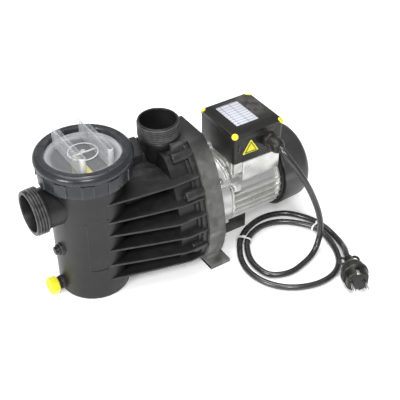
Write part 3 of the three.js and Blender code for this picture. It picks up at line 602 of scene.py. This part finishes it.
# ------------------------------------------------------------------ strainer pot and stubs
def arc(r, a0, a1, n):
    return [(r * cos(radians(a0 + (a1 - a0) * i / n)), r * sin(radians(a0 + (a1 - a0) * i / n)))
            for i in range(n + 1)]


def sector(name, r0, r1, a0, a1, z0, z1, n=10):
    """a curved pad between two radii and two angles in degrees"""
    return plate(name, arc(r1, a0, a1, n) + arc(r0, a1, a0, n), z0, z1)


def strainer_pot():
    pot = turned("strainer_pot_moulding", [
        (48.8, 0), (50.2, 0.5), (51.2, 1.6), (51.6, 3.5), (51.8, 24), (52.1, 52), (52.15, 56),
        (BARREL_R, 100), (52.8, 141), (52.8, 145), (52.9, 170), (53, 189), (54, 192),
        (57, 195.6), (NECK_R, 197), (NECK_R, 211), (57.6, 211.5), (49.5, 211.5), (49.5, 205),
        (48.6, 190), (48.2, 60), (46, 10), (44, 9)], n=144)
    bore = turned("bore", [(SUCTION_BORE, 35), (SUCTION_BORE, 60)], "-x", (0, 0, SUCTION_Z))
    channel = turned("channel", [(22, 30), (22, 60)], "x", AX)
    for tool in (bore, channel):
        cut(pot, [tool])
    soften(pot, 0, smooth=30)
    drain = soften(turned("drain_boss", [(10, 45), (10, 55.4), (9.4, 56), (5.8, 56), (5.8, 45)],
                          "-x", (0, 0, 14.5), 48, solid=False), 0.4)
    gauge = soften(turned("gauge_boss", [(9.5, 45), (9.5, 54), (9, 54.5)], "-x", (0, -9, 84), 48),
                   0.4)
    marks = [soften(sector("label_edge", 51, 52.95, a0, a1, z0, z1), 0.15)
             for a0, a1, z0, z1 in ((-120, -91, 142.4, 143.2), (-120, -91, 54, 54.8),
                                    (-120, -119.2, 54, 143), (-91.8, -91, 54, 143))]
    for angle, z, r in ((-120.6, 140.5, 1.5), (-87.2, 141.5, 1.9)):
        pip = turned("pip", [(r, 51.5), (r, 53.2), (r * 0.6, 53.7)], "x", (0, 0, z), 24)
        marks.append(soften(placed(pip, (0, 0, radians(angle))), 0.2))
    ring_mark = turned("ring_mark", [(4.2, 51.9), (4.6, 52.6), (5.2, 52.6), (5.6, 51.9)], "x",
                       (0, 0, 118), 40, solid=False)
    marks.append(soften(placed(ring_mark, (0, 0, radians(-100.6))), 0.1))
    pot = joined("strainer_pot_moulding", [pot, drain, gauge, *marks])
    return piece(pot, "pump", "housing_plastic", HOUSING, "strainer_pot")


def suction_stub():
    neck = turned("suction_neck", [
        (29.4, 40), (28.9, 56), (28.6, 67), (30.2, 68.2), (30.2, 83.4),
        (SUCTION_R - 0.8, 84.4), (SUCTION_R - 0.8, 86.6), (SUCTION_R - 1.6, 87.5),
        (SUCTION_BORE + 0.9, 87.5), (SUCTION_BORE, 86.6), (SUCTION_BORE, 40)],
        "-x", (0, 0, SUCTION_Z), 112, solid=False)
    soften(neck, 0.3)
    ridge = thread("suction_thread", SUCTION_R, 2.6, 3.9, 69, 4, "-x", (0, 0, SUCTION_Z))
    neck = joined("suction_neck", [neck, ridge])
    return piece(neck, "pump", "housing_plastic", HOUSING, "suction_stub")


def outlet_neck():
    at = (OUT_X, OUT_Y, 0)
    neck = turned("outlet_riser", [
        (19, 150), (20.5, 165), (27.4, 192), (28.9, 199), (29.2, 203.8), (28.2, 204.6),
        (28.2, 225.6), (28.9, 226.4), (OUT_R - 0.9, 228.4), (OUT_R - 1.6, OUT_TOP),
        (OUT_BORE + 0.7, OUT_TOP), (OUT_BORE, 228.4), (OUT_BORE, 212), (23.6, 204), (15, 170),
        (15, 150)], "z", at, 112, solid=False)
    cut(neck, [block("trim", SPLIT_X, 160, -40, 60, 140, DECK_Z + 0.2)])
    soften(neck, 0.3)
    ridge = thread("outlet_thread", OUT_R + 0.2, 1.7, 3.05, 205.6, 7, "z", at)
    webs = [soften(block("web", OUT_X - 27, OUT_X - 18, OUT_Y - 1.2, OUT_Y + 1.2, 160, 181), 0.4),
            soften(turned("stop_nub", [(2, 158), (2, 166.5), (1.2, 167.2)], "z", (96, -6, 0), 24),
                   0.3)]
    neck = joined("outlet_riser", [neck, ridge, *webs])
    return piece(neck, "pump", "housing_plastic", HOUSING, "outlet_neck")


def side_plates():
    parts = []
    hug = arc(50.6, -88, -20, 10)
    for z, w, bend in RIBS:
        for s in (-1, 1):
            edge = [(0.5, -BARREL_R + 0.3), (bend * 0.5, -(BARREL_R + (w - BARREL_R) * 0.52)),
                    (bend - 7, -w + 1.2), (bend, -w), (bend + 5, -w), (142, -w), (142, -20)]
            pts = edge + list(reversed(hug))
            rib = plate("rib", [(x, y * -s) for x, y in pts], z - 1.5, z + 1.5)
            parts.append(soften(rib, 0.7, 3))
    channel = plate("channel", arc(50.6, -37, 37, 12) + [(106, 31), (106, -31)], 18, 165)
    cut(channel, [turned("bore", [(22, 30), (22, 113)], "x", AX)])
    deck = plate("deck", [(46, 8), (106, 8), (106, 54), (62, 54), (44, 30)], 160, 179)
    parts += [soften(channel, 1.2), soften(deck, 1.6, 3)]
    ribs = joined("ribbed_flow_channel", parts)
    return piece(ribs, "pump", "housing_plastic", HOUSING, "ribbed_channel")


def volute_housing():
    drum = plate("drum", outline(12), 105, 139, "x")
    cut(drum, [turned("chamber", [(56, 112), (56, 150)], "x", AX),
               turned("eye", [(22, 100), (22, 113)], "x", AX)])
    neck_room = turned("neck_room", [(19, 149), (20.5, 165), (29.2, 199), (29.2, 210)], "z",
                       (OUT_X, OUT_Y, 0))
    cut(drum, [neck_room])
    soften(drum, 1.4, 3)
    parts = [drum]
    for off, x0, x1, width in ((9, 132, 139, 0.8), (5, 137, SPLIT_X, 1.0)):
        band = plate("band", outline(off), x0, x1, "x")
        cut(band, [turned("chamber", [(56, 112), (56, 150)], "x", AX)])
        parts.append(soften(band, width))
    top = plate("discharge", [(120, -29), (SPLIT_X, -29), (SPLIT_X, 37.5), (120, 37.5)], 158,
                DECK_Z)
    cut(top, [turned("neck_room", [(20.5, 150), (20.5, 165), (29.2, 199), (29.2, 210)], "z",
                     (OUT_X, OUT_Y, 0))])
    parts.append(soften(top, 1.6, 3))
    for s in (-1, 1):
        for y, z, x0 in BOLTS:
            boss = turned("boss", [(7.4, x0), (8.5, x0 + 1.2), (8.5, SPLIT_X)], "x",
                          (0, s * y, z), 48)
            cut(boss, [turned("hole", [(3.6, x0 - 3), (3.6, x0 + 9)], "x", (0, s * y, z), 24)])
            inner, outer = sorted((s * (y - 14), s * y))
            web = block("web", x0 + 1, SPLIT_X, inner, outer, z - 4.6, z + 4.6)
            parts += [soften(boss, 0.3), soften(web, 0.8)]
    housing = joined("volute_moulding", parts)
    return piece(housing, "pump", "housing_plastic", HOUSING, "pump_housing")


def plugs():
    x0 = 55
    gauge = turned("port_plug", [(8.2, x0), (8.2, 57.4), (7.6, 58), (5.9, 58), (5.9, 61),
                                 (5.2, 61.5)], "-x", (0, -9, 84), 48)
    hexes = turned("port_hex", [(5.8, 57), (5.8, 61.2), (5.2, 61.8)], "-x", (0, -9, 84), 6)
    gauge = joined("port_plug", [soften(gauge, 0.2), soften(hexes, 0.3)])
    piece(gauge, "pump", "black_plastic", BLACK, "gauge_port_plug")

    at = (0, 0, 14.5)
    cap = turned("drain_cap", [(11.6, 60.2), (13, 61.4), (13.2, 72), (12.2, 73.5), (9, 73.5),
                               (8.6, 73), (8.6, 70.5)], "-x", at, 8)
    soften(cap, 1.1, 3, angle=25)
    parts = [cap, soften(block("bar", -73.2, -70, -1.6, 1.6, 5.6, 23.4), 0.5),
             soften(turned("stem", [(4.8, 46), (4.8, 61)], "-x", at, 32), 0.4)]
    parts.append(thread("stem_thread", 5.2, 0.5, 1.8, 47, 6, "-x", at))
    piece(joined("drain_cap", parts), "drain_plug", "yellow_plastic", YELLOW, "drain_plug")
    seal = turned("drain_washer", [(5.9, 56.3), (9, 56.3), (9.4, 57), (9.4, 59), (9, 59.7),
                                   (5.9, 59.7)], "-x", at, 48, solid=False)
    piece(soften(seal, 0.2), "drain_seal", "seal_rubber", RUBBER, "drain_seal")


# ------------------------------------------------------------------ lock ring, lid, basket
def lock_ring():
    ring = turned("lock_ring_moulding", [
        (RING_OPEN_R, 220.2), (RING_OPEN_R, 226.4), (53.2, RING_TOP), (60.6, RING_TOP),
        (62, 227.4), (64.4, 225.9), (66.6, 223.4), (RING_R, 221), (RING_R, 218.4), (66.9, 216.9),
        (65.4, 215.4), (64.6, 214.2), (63.9, RING_BOTTOM + 0.6), (63.4, RING_BOTTOM),
        (60.8, RING_BOTTOM), (60.4, RING_BOTTOM + 0.6), (60.4, 220.2)], n=144, solid=False)
    soften(ring, 0, smooth=28)
    pads = []
    for i in range(11):
        a = -145.2 + i * 360 / 11
        pad = sector("pad", 62, 66.0, a - 7.9, a + 7.9, RING_BOTTOM + 1.2, 214.2, 8)
        pads.append(soften(pad, 0.9, 3, angle=40))
    groove = turned("groove_lip", [(60.4, 226.9), (60.9, 228.0), (61.8, 227.0)], n=144,
                    solid=False)
    ring = joined("lock_ring_moulding", [ring, *pads, soften(groove, 0)])
    return piece(ring, "ring", "ring_plastic", RING, "lock_ring")


def clear_lid():
    lid = turned("clear_lid_moulding", [
        (0.5, 215.6), (30, 215.8), (40, 215.2), (48.6, 213.7), (57.4, 213.7), (57.4, 219.2),
        (52, 219.6), (51.2, 221.6), (50.4, 222.2), (21.6, 222.2), (21.2, 224.2), (20.6, 224.6),
        (19.4, 224.6), (18.8, 224.2), (18.4, 222.2), (4.2, 222.2), (3.8, 225.2), (2.6, 226.4),
        (0.5, 226.6)], n=112)
    soften(lid, 0, smooth=35)
    parts = [lid]
    for s in (-1, 1):
        grip = plate("grip", rounded_box(s * 20 - 4, s * 20 + 4, -46, 46, 3.9), 219.6, 246.8)
        pockets = []
        for i in range(5):
            y0 = -43.6 + i * 17.6
            pockets.append(block("pocket", s * 20 - 2.2, s * 20 + 2.2, y0, y0 + 16, 224, 250))
        cut(grip, pockets)
        soften(grip, 0.4)
        edit(grip)
        pick(grip, "FACE", lambda c, f: f.calc_area() > 2e-5)
        bpy.ops.mesh.inset(thickness=0.0007, use_individual=True)
        bpy.ops.object.mode_set(mode="OBJECT")
        parts.append(grip)
    parts.append(soften(block("spoke", -19, 19, -0.8, 0.8, 221.6, 223.4), 0.3))
    lid = joined("clear_lid_moulding", parts)
    piece(lid, "lid", "lid_clear", CLEAR, "clear_lid")
    seal = turned("lid_o_ring", [(54.2 + 0.8 * cos(t), 212.6 + 0.8 * sin(t)) for t in
                                 (i * pi / 4 for i in range(8))], n=96, solid=False)
    piece(soften(seal, 0, smooth=60), "lid_seal", "seal_rubber", RUBBER, "lid_seal")


def basket():
    wall = turned("basket_wall", [(38, 12), (40, 14), (44.2, 121), (44.6, 122), (44.6, 126),
                                  (41.2, 126), (41.2, 122), (37.4, 15), (36, 14.8)], n=96)
    holes = []
    for k in range(16):
        for j in range(6):
            hole = block("window", 34, 48, -4.2, 4.2, 22 + j * 16, 34 + j * 16)
            holes.append(placed(hole, (0, 0, k * pi / 8)))
    for k in range(8):
        slot_tool = block("slot", 12, 32, -1.8, 1.8, 8, 20)
        holes.append(placed(slot_tool, (0, 0, k * pi / 4)))
    tool = joined("tool", holes)
    apply(wall, "BOOLEAN", operation="DIFFERENCE", solver="EXACT", object=tool)
    bpy.data.objects.remove(tool)
    soften(wall, 0, smooth=35)
    piece(wall, "basket", "basket_plastic", BASKET, "strainer_basket")
    pts = [(-40, 119), (-37, 119), (-37, 150), (-26, 196), (26, 196), (37, 150), (37, 119),
           (40, 119), (40, 151), (28.6, 200), (-28.6, 200), (-40, 151)]
    handle = plate("basket_bow", pts, -4.5, 4.5, "x")
    soften(handle, 1.2, 3, angle=20)
    piece(handle, "basket", "handle_plastic", HANDLE, "basket_handle")


# ------------------------------------------------------------------ rear casing and bolts
def rear_casing():
    x0 = SPLIT_X + 0.3
    body = plate("rear_casing_moulding", outline(0), x0, CASING_X, "x")
    pocket = plate("pocket", outline(7), 158, 180, "x")
    cut(pocket, [turned("hub", [(63.5, 150), (63.5, 190)], "x", AX)])
    for a in (0, 45, 90, 135):
        rib = block("rib", 145, 185, -130, 130, AXIS_Z - 1.6, AXIS_Z + 1.6)
        cut(pocket, [copied(rib, "rib_turned", a, AX)])
        bpy.data.objects.remove(rib)
    bosses = [turned("boss", [(10, 150), (10, 190)], "x", (0, s * y, z), 32)
              for s in (-1, 1) for y, z, _ in BOLTS]
    for boss in bosses:
        cut(pocket, [boss])
    cut(body, [pocket])
    cut(body, [turned("bore", [(46, 162), (46, 180)], "x", AX)])
    cut(body, [turned("shaft_hole", [(9, 140), (9, 165)], "x", AX, 48)])
    soften(body, 1.1, 3, angle=40)
    parts = [body]
    for s in (-1, 1):
        foot = plate("foot", [(s * 56, 0), (s * 84.5, 0), (s * 84.5, 6.2), (s * 77.5, 7.4),
                              (s * 75.6, 9), (s * 74.6, 12), (s * 75.2, 20), (s * 56, 20)],
                     150, CASING_X, "x")
        toe = block("toe", 150, 184.5, *sorted((s * 58, s * 84.5)), 0, 6.2)
        parts += [soften(foot, 0.7), soften(toe, 1.0)]
    gate = turned("gate_mark", [(1.2, 0), (1.2, 1.0), (0.8, 1.3)], "-y", (158, -87.6, 60), 20)
    parts.append(soften(gate, 0.1))
    return piece(joined("rear_casing_moulding", parts), "pump", "casing_plastic", CASING,
                 "rear_casing")


def casing_bolts():
    parts = [soften(turned("washer", [(7.6, 172.3), (7.6, 173.8)], "x", n=40), 0.25),
             soften(turned("head", [(6.6, 173.6), (6.6, 178.2), (5.8, 179)], "x", n=6), 0.35),
             soften(turned("shank", [(3.5, 130), (3.5, 174)], "x", n=24), 0.3)]
    first = joined("hex_bolt", parts)
    number = 1
    for s in (-1, 1):
        for y, z, _ in BOLTS:
            bolt = copied(first, f"hex_bolt_{number}")
            placed(bolt, at=(0, s * y, z))
            piece(bolt, "pump", "bright_steel", STEEL, f"casing_bolt_{number}")
            number += 1
    bpy.data.objects.remove(first)


# ------------------------------------------------------------------ motor
def motor_bracket():
    ring = turned("motor_adapter", [
        (50.5, 172.3), (58, 172.3), (58.5, 172.8), (58.5, 176.6), (57.6, 178.4), (57, 180),
        (57, 203.6), (57.6, 204.2), (57.6, 205.2), (55.6, 206.6), (55.6, JOINT_X),
        (17.8, JOINT_X), (17.8, 194),
        (10, 194), (10, 189), (50.5, 189)], "x", AX, 128, solid=False)
    soften(ring, 0.3)
    lugs = []
    for s in (-1, 1):
        for a in (40, -42):
            lug = block("lug", 186, 206.8, 52, 60.4, AXIS_Z - 5, AXIS_Z + 5)
            turn = copied(lug, "bracket_lug", a if s > 0 else 180 - a, AX)
            bpy.data.objects.remove(lug)
            lugs.append(soften(turn, 1.8, 3))
    return piece(joined("motor_adapter", [ring, *lugs]), "pump", "motor_aluminium", ALLOY,
                 "motor_bracket")


def motor_body():
    shell = turned("finned_stator", [
        (46, 207.3), (56.2, 207.3), (56.7, 207.8), (56.7, 210.6), (56.2, 211), (51, 211.4),
        (50, 213), (50, 291), (54.4, 292.5), (55, 293), (55, 296.2), (54.6, STATOR_END),
        (46, STATOR_END)], "x", AX, 128, solid=False)
    soften(shell, 0.3)
    parts = [shell]
    fin = plate("fin", [(48, -1.5), (55.6, -1.0), (56.4, -0.7), (56.8, 0), (56.4, 0.7),
                        (55.6, 1.0), (48, 1.5)], 212.4, STATOR_END, "x")
    edit(fin)
    pick(fin, "FACE", lambda c, f: abs(f.normal.x) > 0.9 and c.x < 213)
    bpy.ops.mesh.extrude_region_move(TRANSFORM_OT_translate={"value": (-1.6 * MM, 0, 0)})
    bpy.ops.transform.resize(value=(1, 0.985, 0.5), center_override=(0.2108, 0.048, 0))
    tidy(fin)
    placed(fin, at=AX)
    soften(fin, 0.35)
    for s in (-1, 1):
        for k in range(9):
            a = 16 - 12 * k
            parts.append(copied(fin, "fin_copy", a if s > 0 else 180 - a, AX))
    bpy.data.objects.remove(fin)
    for s in (-1, 1):
        side = block("side_panel", 230, STATOR_END, *sorted((s * 30, s * 46.4)), 104, 142.7)
        edit(side)
        pick(side, "EDGE", lambda c, e: abs(c.y) > 46 and c.z < 105)
        bpy.ops.mesh.bevel(offset=0.008, segments=4)
        tidy(side)
        parts.append(soften(side, 1.2, 3))
        front = block("front_panel", 214, 232, *sorted((s * 24, s * 38)), 112, 142.7)
        parts.append(soften(front, 2.4, 3))
        lug = block("lug", 209, 222, *sorted((s * 44, s * 56)), 101, 112)
        parts.append(soften(lug, 2.2, 3))
    top = block("pedestal", 216, STATOR_END, -44, 44, 124, 142.7)
    cut(top, [turned("inside", [(47, 200), (47, 310)], "x", AX)])
    parts.append(soften(top, 1.4, 3))
    piece(joined("finned_stator", parts), "pump", "motor_aluminium", ALLOY, "stator_housing")
    for number, s in ((1, -1), (2, 1)):
        screw = turned("tie_screw", [(3.8, 205.6), (3.8, 208.4), (3.2, 209)], "x",
                       (0, s * 50, 106.5), 32)
        cut(screw, [turned("socket", [(1.9, 203), (1.9, 207)], "x", (0, s * 50, 106.5), 6)])
        screw.name = f"tie_screw_{number}"
        piece(soften(screw, 0.25), "pump", "bright_steel", STEEL)


def rear_end():
    shield = turned("rear_end_shield", [
        (17.8, 288.3), (21.5, 288.3), (21.5, 297), (58, 297), (58.6, 297.6), (58.6, 307),
        (56, 307), (54, 301), (24, 301), (22, 304), (10, 304), (10, 300.2), (17.8, 300.2)],
        "x", AX, 112, solid=False)
    # painted shade: the aluminium shield takes the black finish to stand for the shadowed gap
    # between the fins and the cowl
    piece(soften(shield, 0.3), "pump", "motor_aluminium", BLACK, "rear_shield")
    r = COWL_R
    cowl = turned("fan_cowl_moulding", [
        (59, COWL_X0), (r - 0.5, COWL_X0), (r, COWL_X0 + 0.6), (r - 1.2, 338), (r - 2, 342.6),
        (r - 3.6, 346), (r - 5.6, 348.8), (r - 8, 350.8), (r - 10.4, 352.2), (r - 13, COWL_X1),
        (14, COWL_X1), (13, 351.8), (0.6, 351.8), (0.6, 350.2), (r - 13, 350.2),
        (r - 9.8, 348.6), (r - 5.8, 344.6), (r - 3.7, 338), (59.2, 308)],
        "x", AX, 128, solid=False)
    first = block("slot", 340, 362, 20, 45, AXIS_Z - 2, AXIS_Z + 2)
    tools = [copied(first, "slot_copy", i * 20, AX) for i in range(18)]
    outer = block("slot", 346.5, 362, 47.6, 54, AXIS_Z - 2, AXIS_Z + 2)
    tools += [copied(outer, "slot_copy", i * 20 + 10, AX) for i in range(18)]
    bpy.data.objects.remove(first)
    bpy.data.objects.remove(outer)
    tool = joined("tool", tools)
    apply(cowl, "BOOLEAN", operation="DIFFERENCE", solver="EXACT", object=tool)
    bpy.data.objects.remove(tool)
    piece(soften(cowl, 0.3, 2, angle=50), "pump", "cowl_plastic", COWL, "fan_cowl")


def motor_support():
    bar = block("support_saddle", 172.3, 252, -28, 28, 0, 33)
    cut(bar, [turned("cradle", [(MOTOR_R + 2, 165), (MOTOR_R + 2, 180), (MOTOR_R + 0.4, 180.2),
                                (MOTOR_R + 0.4, 260)], "x", AX)])
    cut(bar, [block("relief", 168, 260, -20, 20, -1, 2)])
    return piece(soften(bar, 0.8), "pump", "black_plastic", BLACK, "motor_support")


# ------------------------------------------------------------------ terminal box
def terminal_box():
    base = plate("terminal_box_moulding", rounded_box(BOX_X0, BOX_X1, -BOX_Y, BOX_Y, 6), BOX_Z0,
                 LID_Z - 0.3)
    hollow = plate("hollow", rounded_box(BOX_X0 + 3, BOX_X1 - 3, -BOX_Y + 3, BOX_Y - 3, 4),
                   BOX_Z0 + 3, LID_Z + 5)
    cut(base, [hollow])
    cut(base, [turned("gland_hole", [(8.1, 40), (8.1, 50)], "-y", (GLAND_X, 0, GLAND_Z), 40)])
    lid = plate("terminal_lid", rounded_box(BOX_X0, BOX_X1, -BOX_Y, BOX_Y, 6), LID_Z,
                BOX_Z1 - 0.5)
    edit(lid)
    pick(lid, "FACE", lambda c, f: f.normal.z > 0.9)
    bpy.ops.mesh.inset(thickness=0.0024)
    bpy.ops.transform.translate(value=(0, 0, 0.0005))
    tidy(lid)
    caps = {1: (-1, -1), 2: (1, -1), 3: (1, 1), 4: (-1, 1)}
    middle = (BOX_X0 + BOX_X1) / 2
    for i, (sx, sy) in caps.items():
        lean = (0, pi / 4, atan2(sy, sx))
        at = (middle + sx * (BOX_X1 - middle - 3.4), sy * (BOX_Y - 3.4), BOX_Z1 - 2.3)
        for part in (lid, base):
            cut(part, [placed(turned("seat", [(5.3, -0.6), (5.3, 20)], n=40), lean, at)])
        cap = turned(f"corner_cap_{i}", [(2.1, -14), (2.1, -0.5), (4.7, -0.5), (4.9, 0),
                                         (4.9, 0.9), (4.4, 1.5), (3.4, 1.8)], n=40)
        cut(cap, [block("slot", -3.2, 3.2, -0.5, 0.5, 1.2, 4)])
        cut(cap, [block("slot", -0.5, 0.5, -3.2, 3.2, 1.2, 4)])
        placed(soften(cap, 0.2), lean, at)
        piece(cap, "pump", "yellow_plastic", YELLOW, f"box_screw_{i}")
    soften(lid, 0.9, 3, angle=50)
    piece(lid, "pump", "black_plastic", BLACK, "terminal_box_lid")
    soften(base, 0.7, 3)
    latch = [soften(block("latch", 219, 224.4, -BOX_Y - 1.2, -BOX_Y + 1, 162.6, 165), 0.4),
             soften(block("latch", 221.8, 224.4, -BOX_Y - 1.2, -BOX_Y + 1, 164, 174), 0.4),
             soften(block("seam", BOX_X0 + 7, BOX_X1 - 7, -BOX_Y - 0.4, -BOX_Y + 1, 146.4, 147.6),
                    0.2)]
    base = joined("terminal_box_moulding", [base, *latch])
    piece(base, "pump", "black_plastic", BLACK, "terminal_box_base")

    label = plate("rating_plate", rounded_box(233.5, 272.5, -23.2, 32.4, 1.2), 191.8,
                  BOX_Z1 + 0.9)
    piece(soften(label, 0.15), "pump", "plate_silver", PLATE, "nameplate")
    sign = plate("triangle_plate", [(243.6, 177.3), (242.4, 176.4), (229.6, 157.2),
                                    (230.2, 155.8), (256.4, 155.8), (257.1, 157.2),
                                    (244.8, 176.4)], 44.8, 45.6, "-y")
    edit(sign)
    pick(sign, "FACE", lambda c, f: f.normal.y < -0.9)
    bpy.ops.mesh.inset(thickness=0.0011)
    bpy.ops.transform.translate(value=(0, 0.0003, 0))
    tidy(sign)
    piece(soften(sign, 0.1), "pump", "label_yellow", YELLOW, "blank_triangle_plate")
    edge = [[(243.6 + k * u, 163.2 + k * v) for u, v in ((0, 11), (-10.4, -6), (10.2, -6))]
            for k in (1, 0.87)]
    border = plate("triangle_border", edge[0], 45.2, 45.9, "-y")
    cut(border, [plate("inside", edge[1], 44, 47, "-y")])
    piece(soften(border, 0.05), "pump", "black_plastic", BLACK)


def gland():
    at = (GLAND_X, 0, GLAND_Z)
    body = turned("gland_body_hex", [(12.4, 45), (12.4, 51.6), (11.4, 52.5)], "-y", at, 6)
    barrel = turned("gland_sleeve", [(7.7, 36), (7.7, 58), (5.3, 58), (5.3, 36)], "-y", at, 48,
                    solid=False)
    locknut = turned("locknut", [(11.5, 37), (11.5, 41)], "-y", at, 6)
    body = joined("gland_body_hex", [soften(body, 0.7, 3), soften(barrel, 0.3),
                                     soften(locknut, 0.5)])
    piece(body, "pump", "black_plastic", BLACK, "gland_body")
    nut = turned("gland_dome_nut", [
        (8, 52.9), (11.2, 52.9), (11.2, 67.8), (10.8, 68.8), (10.4, 70.4), (9.4, 72.6),
        (8, 74.4), (7, 75), (5.9, 75), (5.9, 61), (8, 60)], "-y", at, 48, solid=False)
    soften(nut, 0.3)
    flats = []
    for i in range(6):
        rib = block("grip", 7, 11.9, 53.4, 65, -2.2, 2.2)
        rib = placed(rib, (0, i * pi / 3, 0))
        flats.append(placed(soften(rib, 0.9, 3), (pi, 0, 0), at))
    inner = turned("cone_seal", [(4.7, 70), (5.8, 70), (5.8, 75.6), (4.9, 76)], "-y", at, 40,
                   solid=False)
    piece(joined("gland_dome_nut", [nut, *flats]), "pump", "black_plastic", BLACK, "gland_nut")
    piece(soften(inner, 0.2), "pump", "seal_rubber", RUBBER)


strainer_pot()
suction_stub()
outlet_neck()
side_plates()
volute_housing()
plugs()
lock_ring()
clear_lid()
basket()
rear_casing()
casing_bolts()
motor_bracket()
motor_body()
rear_end()
motor_support()
terminal_box()
gland()

# ------------------------------------------------------------------ inner pieces keep their solids
INNER_FINISHES = {
    "casing_seal": RUBBER, "impeller": INNER, "diffuser": INNER, "seal_rotating_head": STEEL,
    "seal_seat": CERAMIC, "shaft": STEEL, "front_bearing_outer_ring": STEEL,
    "front_bearing_inner_ring": STEEL, "front_bearing_ball_cage": STEEL,
    "rear_bearing_outer_ring": STEEL, "rear_bearing_inner_ring": STEEL,
    "rear_bearing_ball_cage": STEEL, "stator_core": CORE, "stator_winding": COPPER,
    "rotor": CORE, "cooling_fan": BLACK, "terminal_box_gasket": RUBBER, "terminal_block": INNER,
    "start_capacitor": INNER}
for node, material in INNER_FINISHES.items():
    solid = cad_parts[node]
    solid.data.materials.clear()
    solid.data.materials.append(material)


# ------------------------------------------------------------------ floor and light
def studio():
    clear()
    bpy.ops.mesh.primitive_plane_add(size=14, location=(0.1, 0.5, -0.0002))
    floor = named("studio_floor")
    paper = bpy.data.materials.new("white_paper")
    paper.use_nodes = True
    shader = paper.node_tree.nodes["Principled BSDF"]
    shader.inputs["Base Color"].default_value = (0.93, 0.93, 0.93, 1)
    shader.inputs["Roughness"].default_value = 0.9
    shader.inputs["Emission Color"].default_value = (1, 1, 1, 1)
    shader.inputs["Emission Strength"].default_value = 0.2
    floor.data.materials.append(paper)
    world = bpy.data.worlds.new("studio")
    bpy.context.scene.world = world
    world.use_nodes = True
    sky = world.node_tree.nodes["Background"]
    sky.inputs["Color"].default_value = (1, 1, 1, 1)
    sky.inputs["Strength"].default_value = 0.42
    for name, at, size, power, aim in (
            ("top_box", (-0.1, 0.3, 3.0), 2.2, 62, (0.1, 0, 0.1)),
            ("left_box", (-2.2, -0.7, 1.3), 0.9, 42, (0, 0, 0.1)),
            ("front_box", (-0.7, -1.8, 2.3), 0.8, 36, (0.1, 0, 0.1))):
        light = bpy.data.lights.new(name, "AREA")
        light.shape, light.size, light.energy = "DISK", size, power
        o = bpy.data.objects.new(name, light)
        bpy.context.scene.collection.objects.link(o)
        o.location = at
        o.rotation_euler = (Vector(at) - Vector(aim)).to_track_quat("Z", "Y").to_euler()
    bpy.context.scene.view_settings.view_transform = "Standard"


studio()
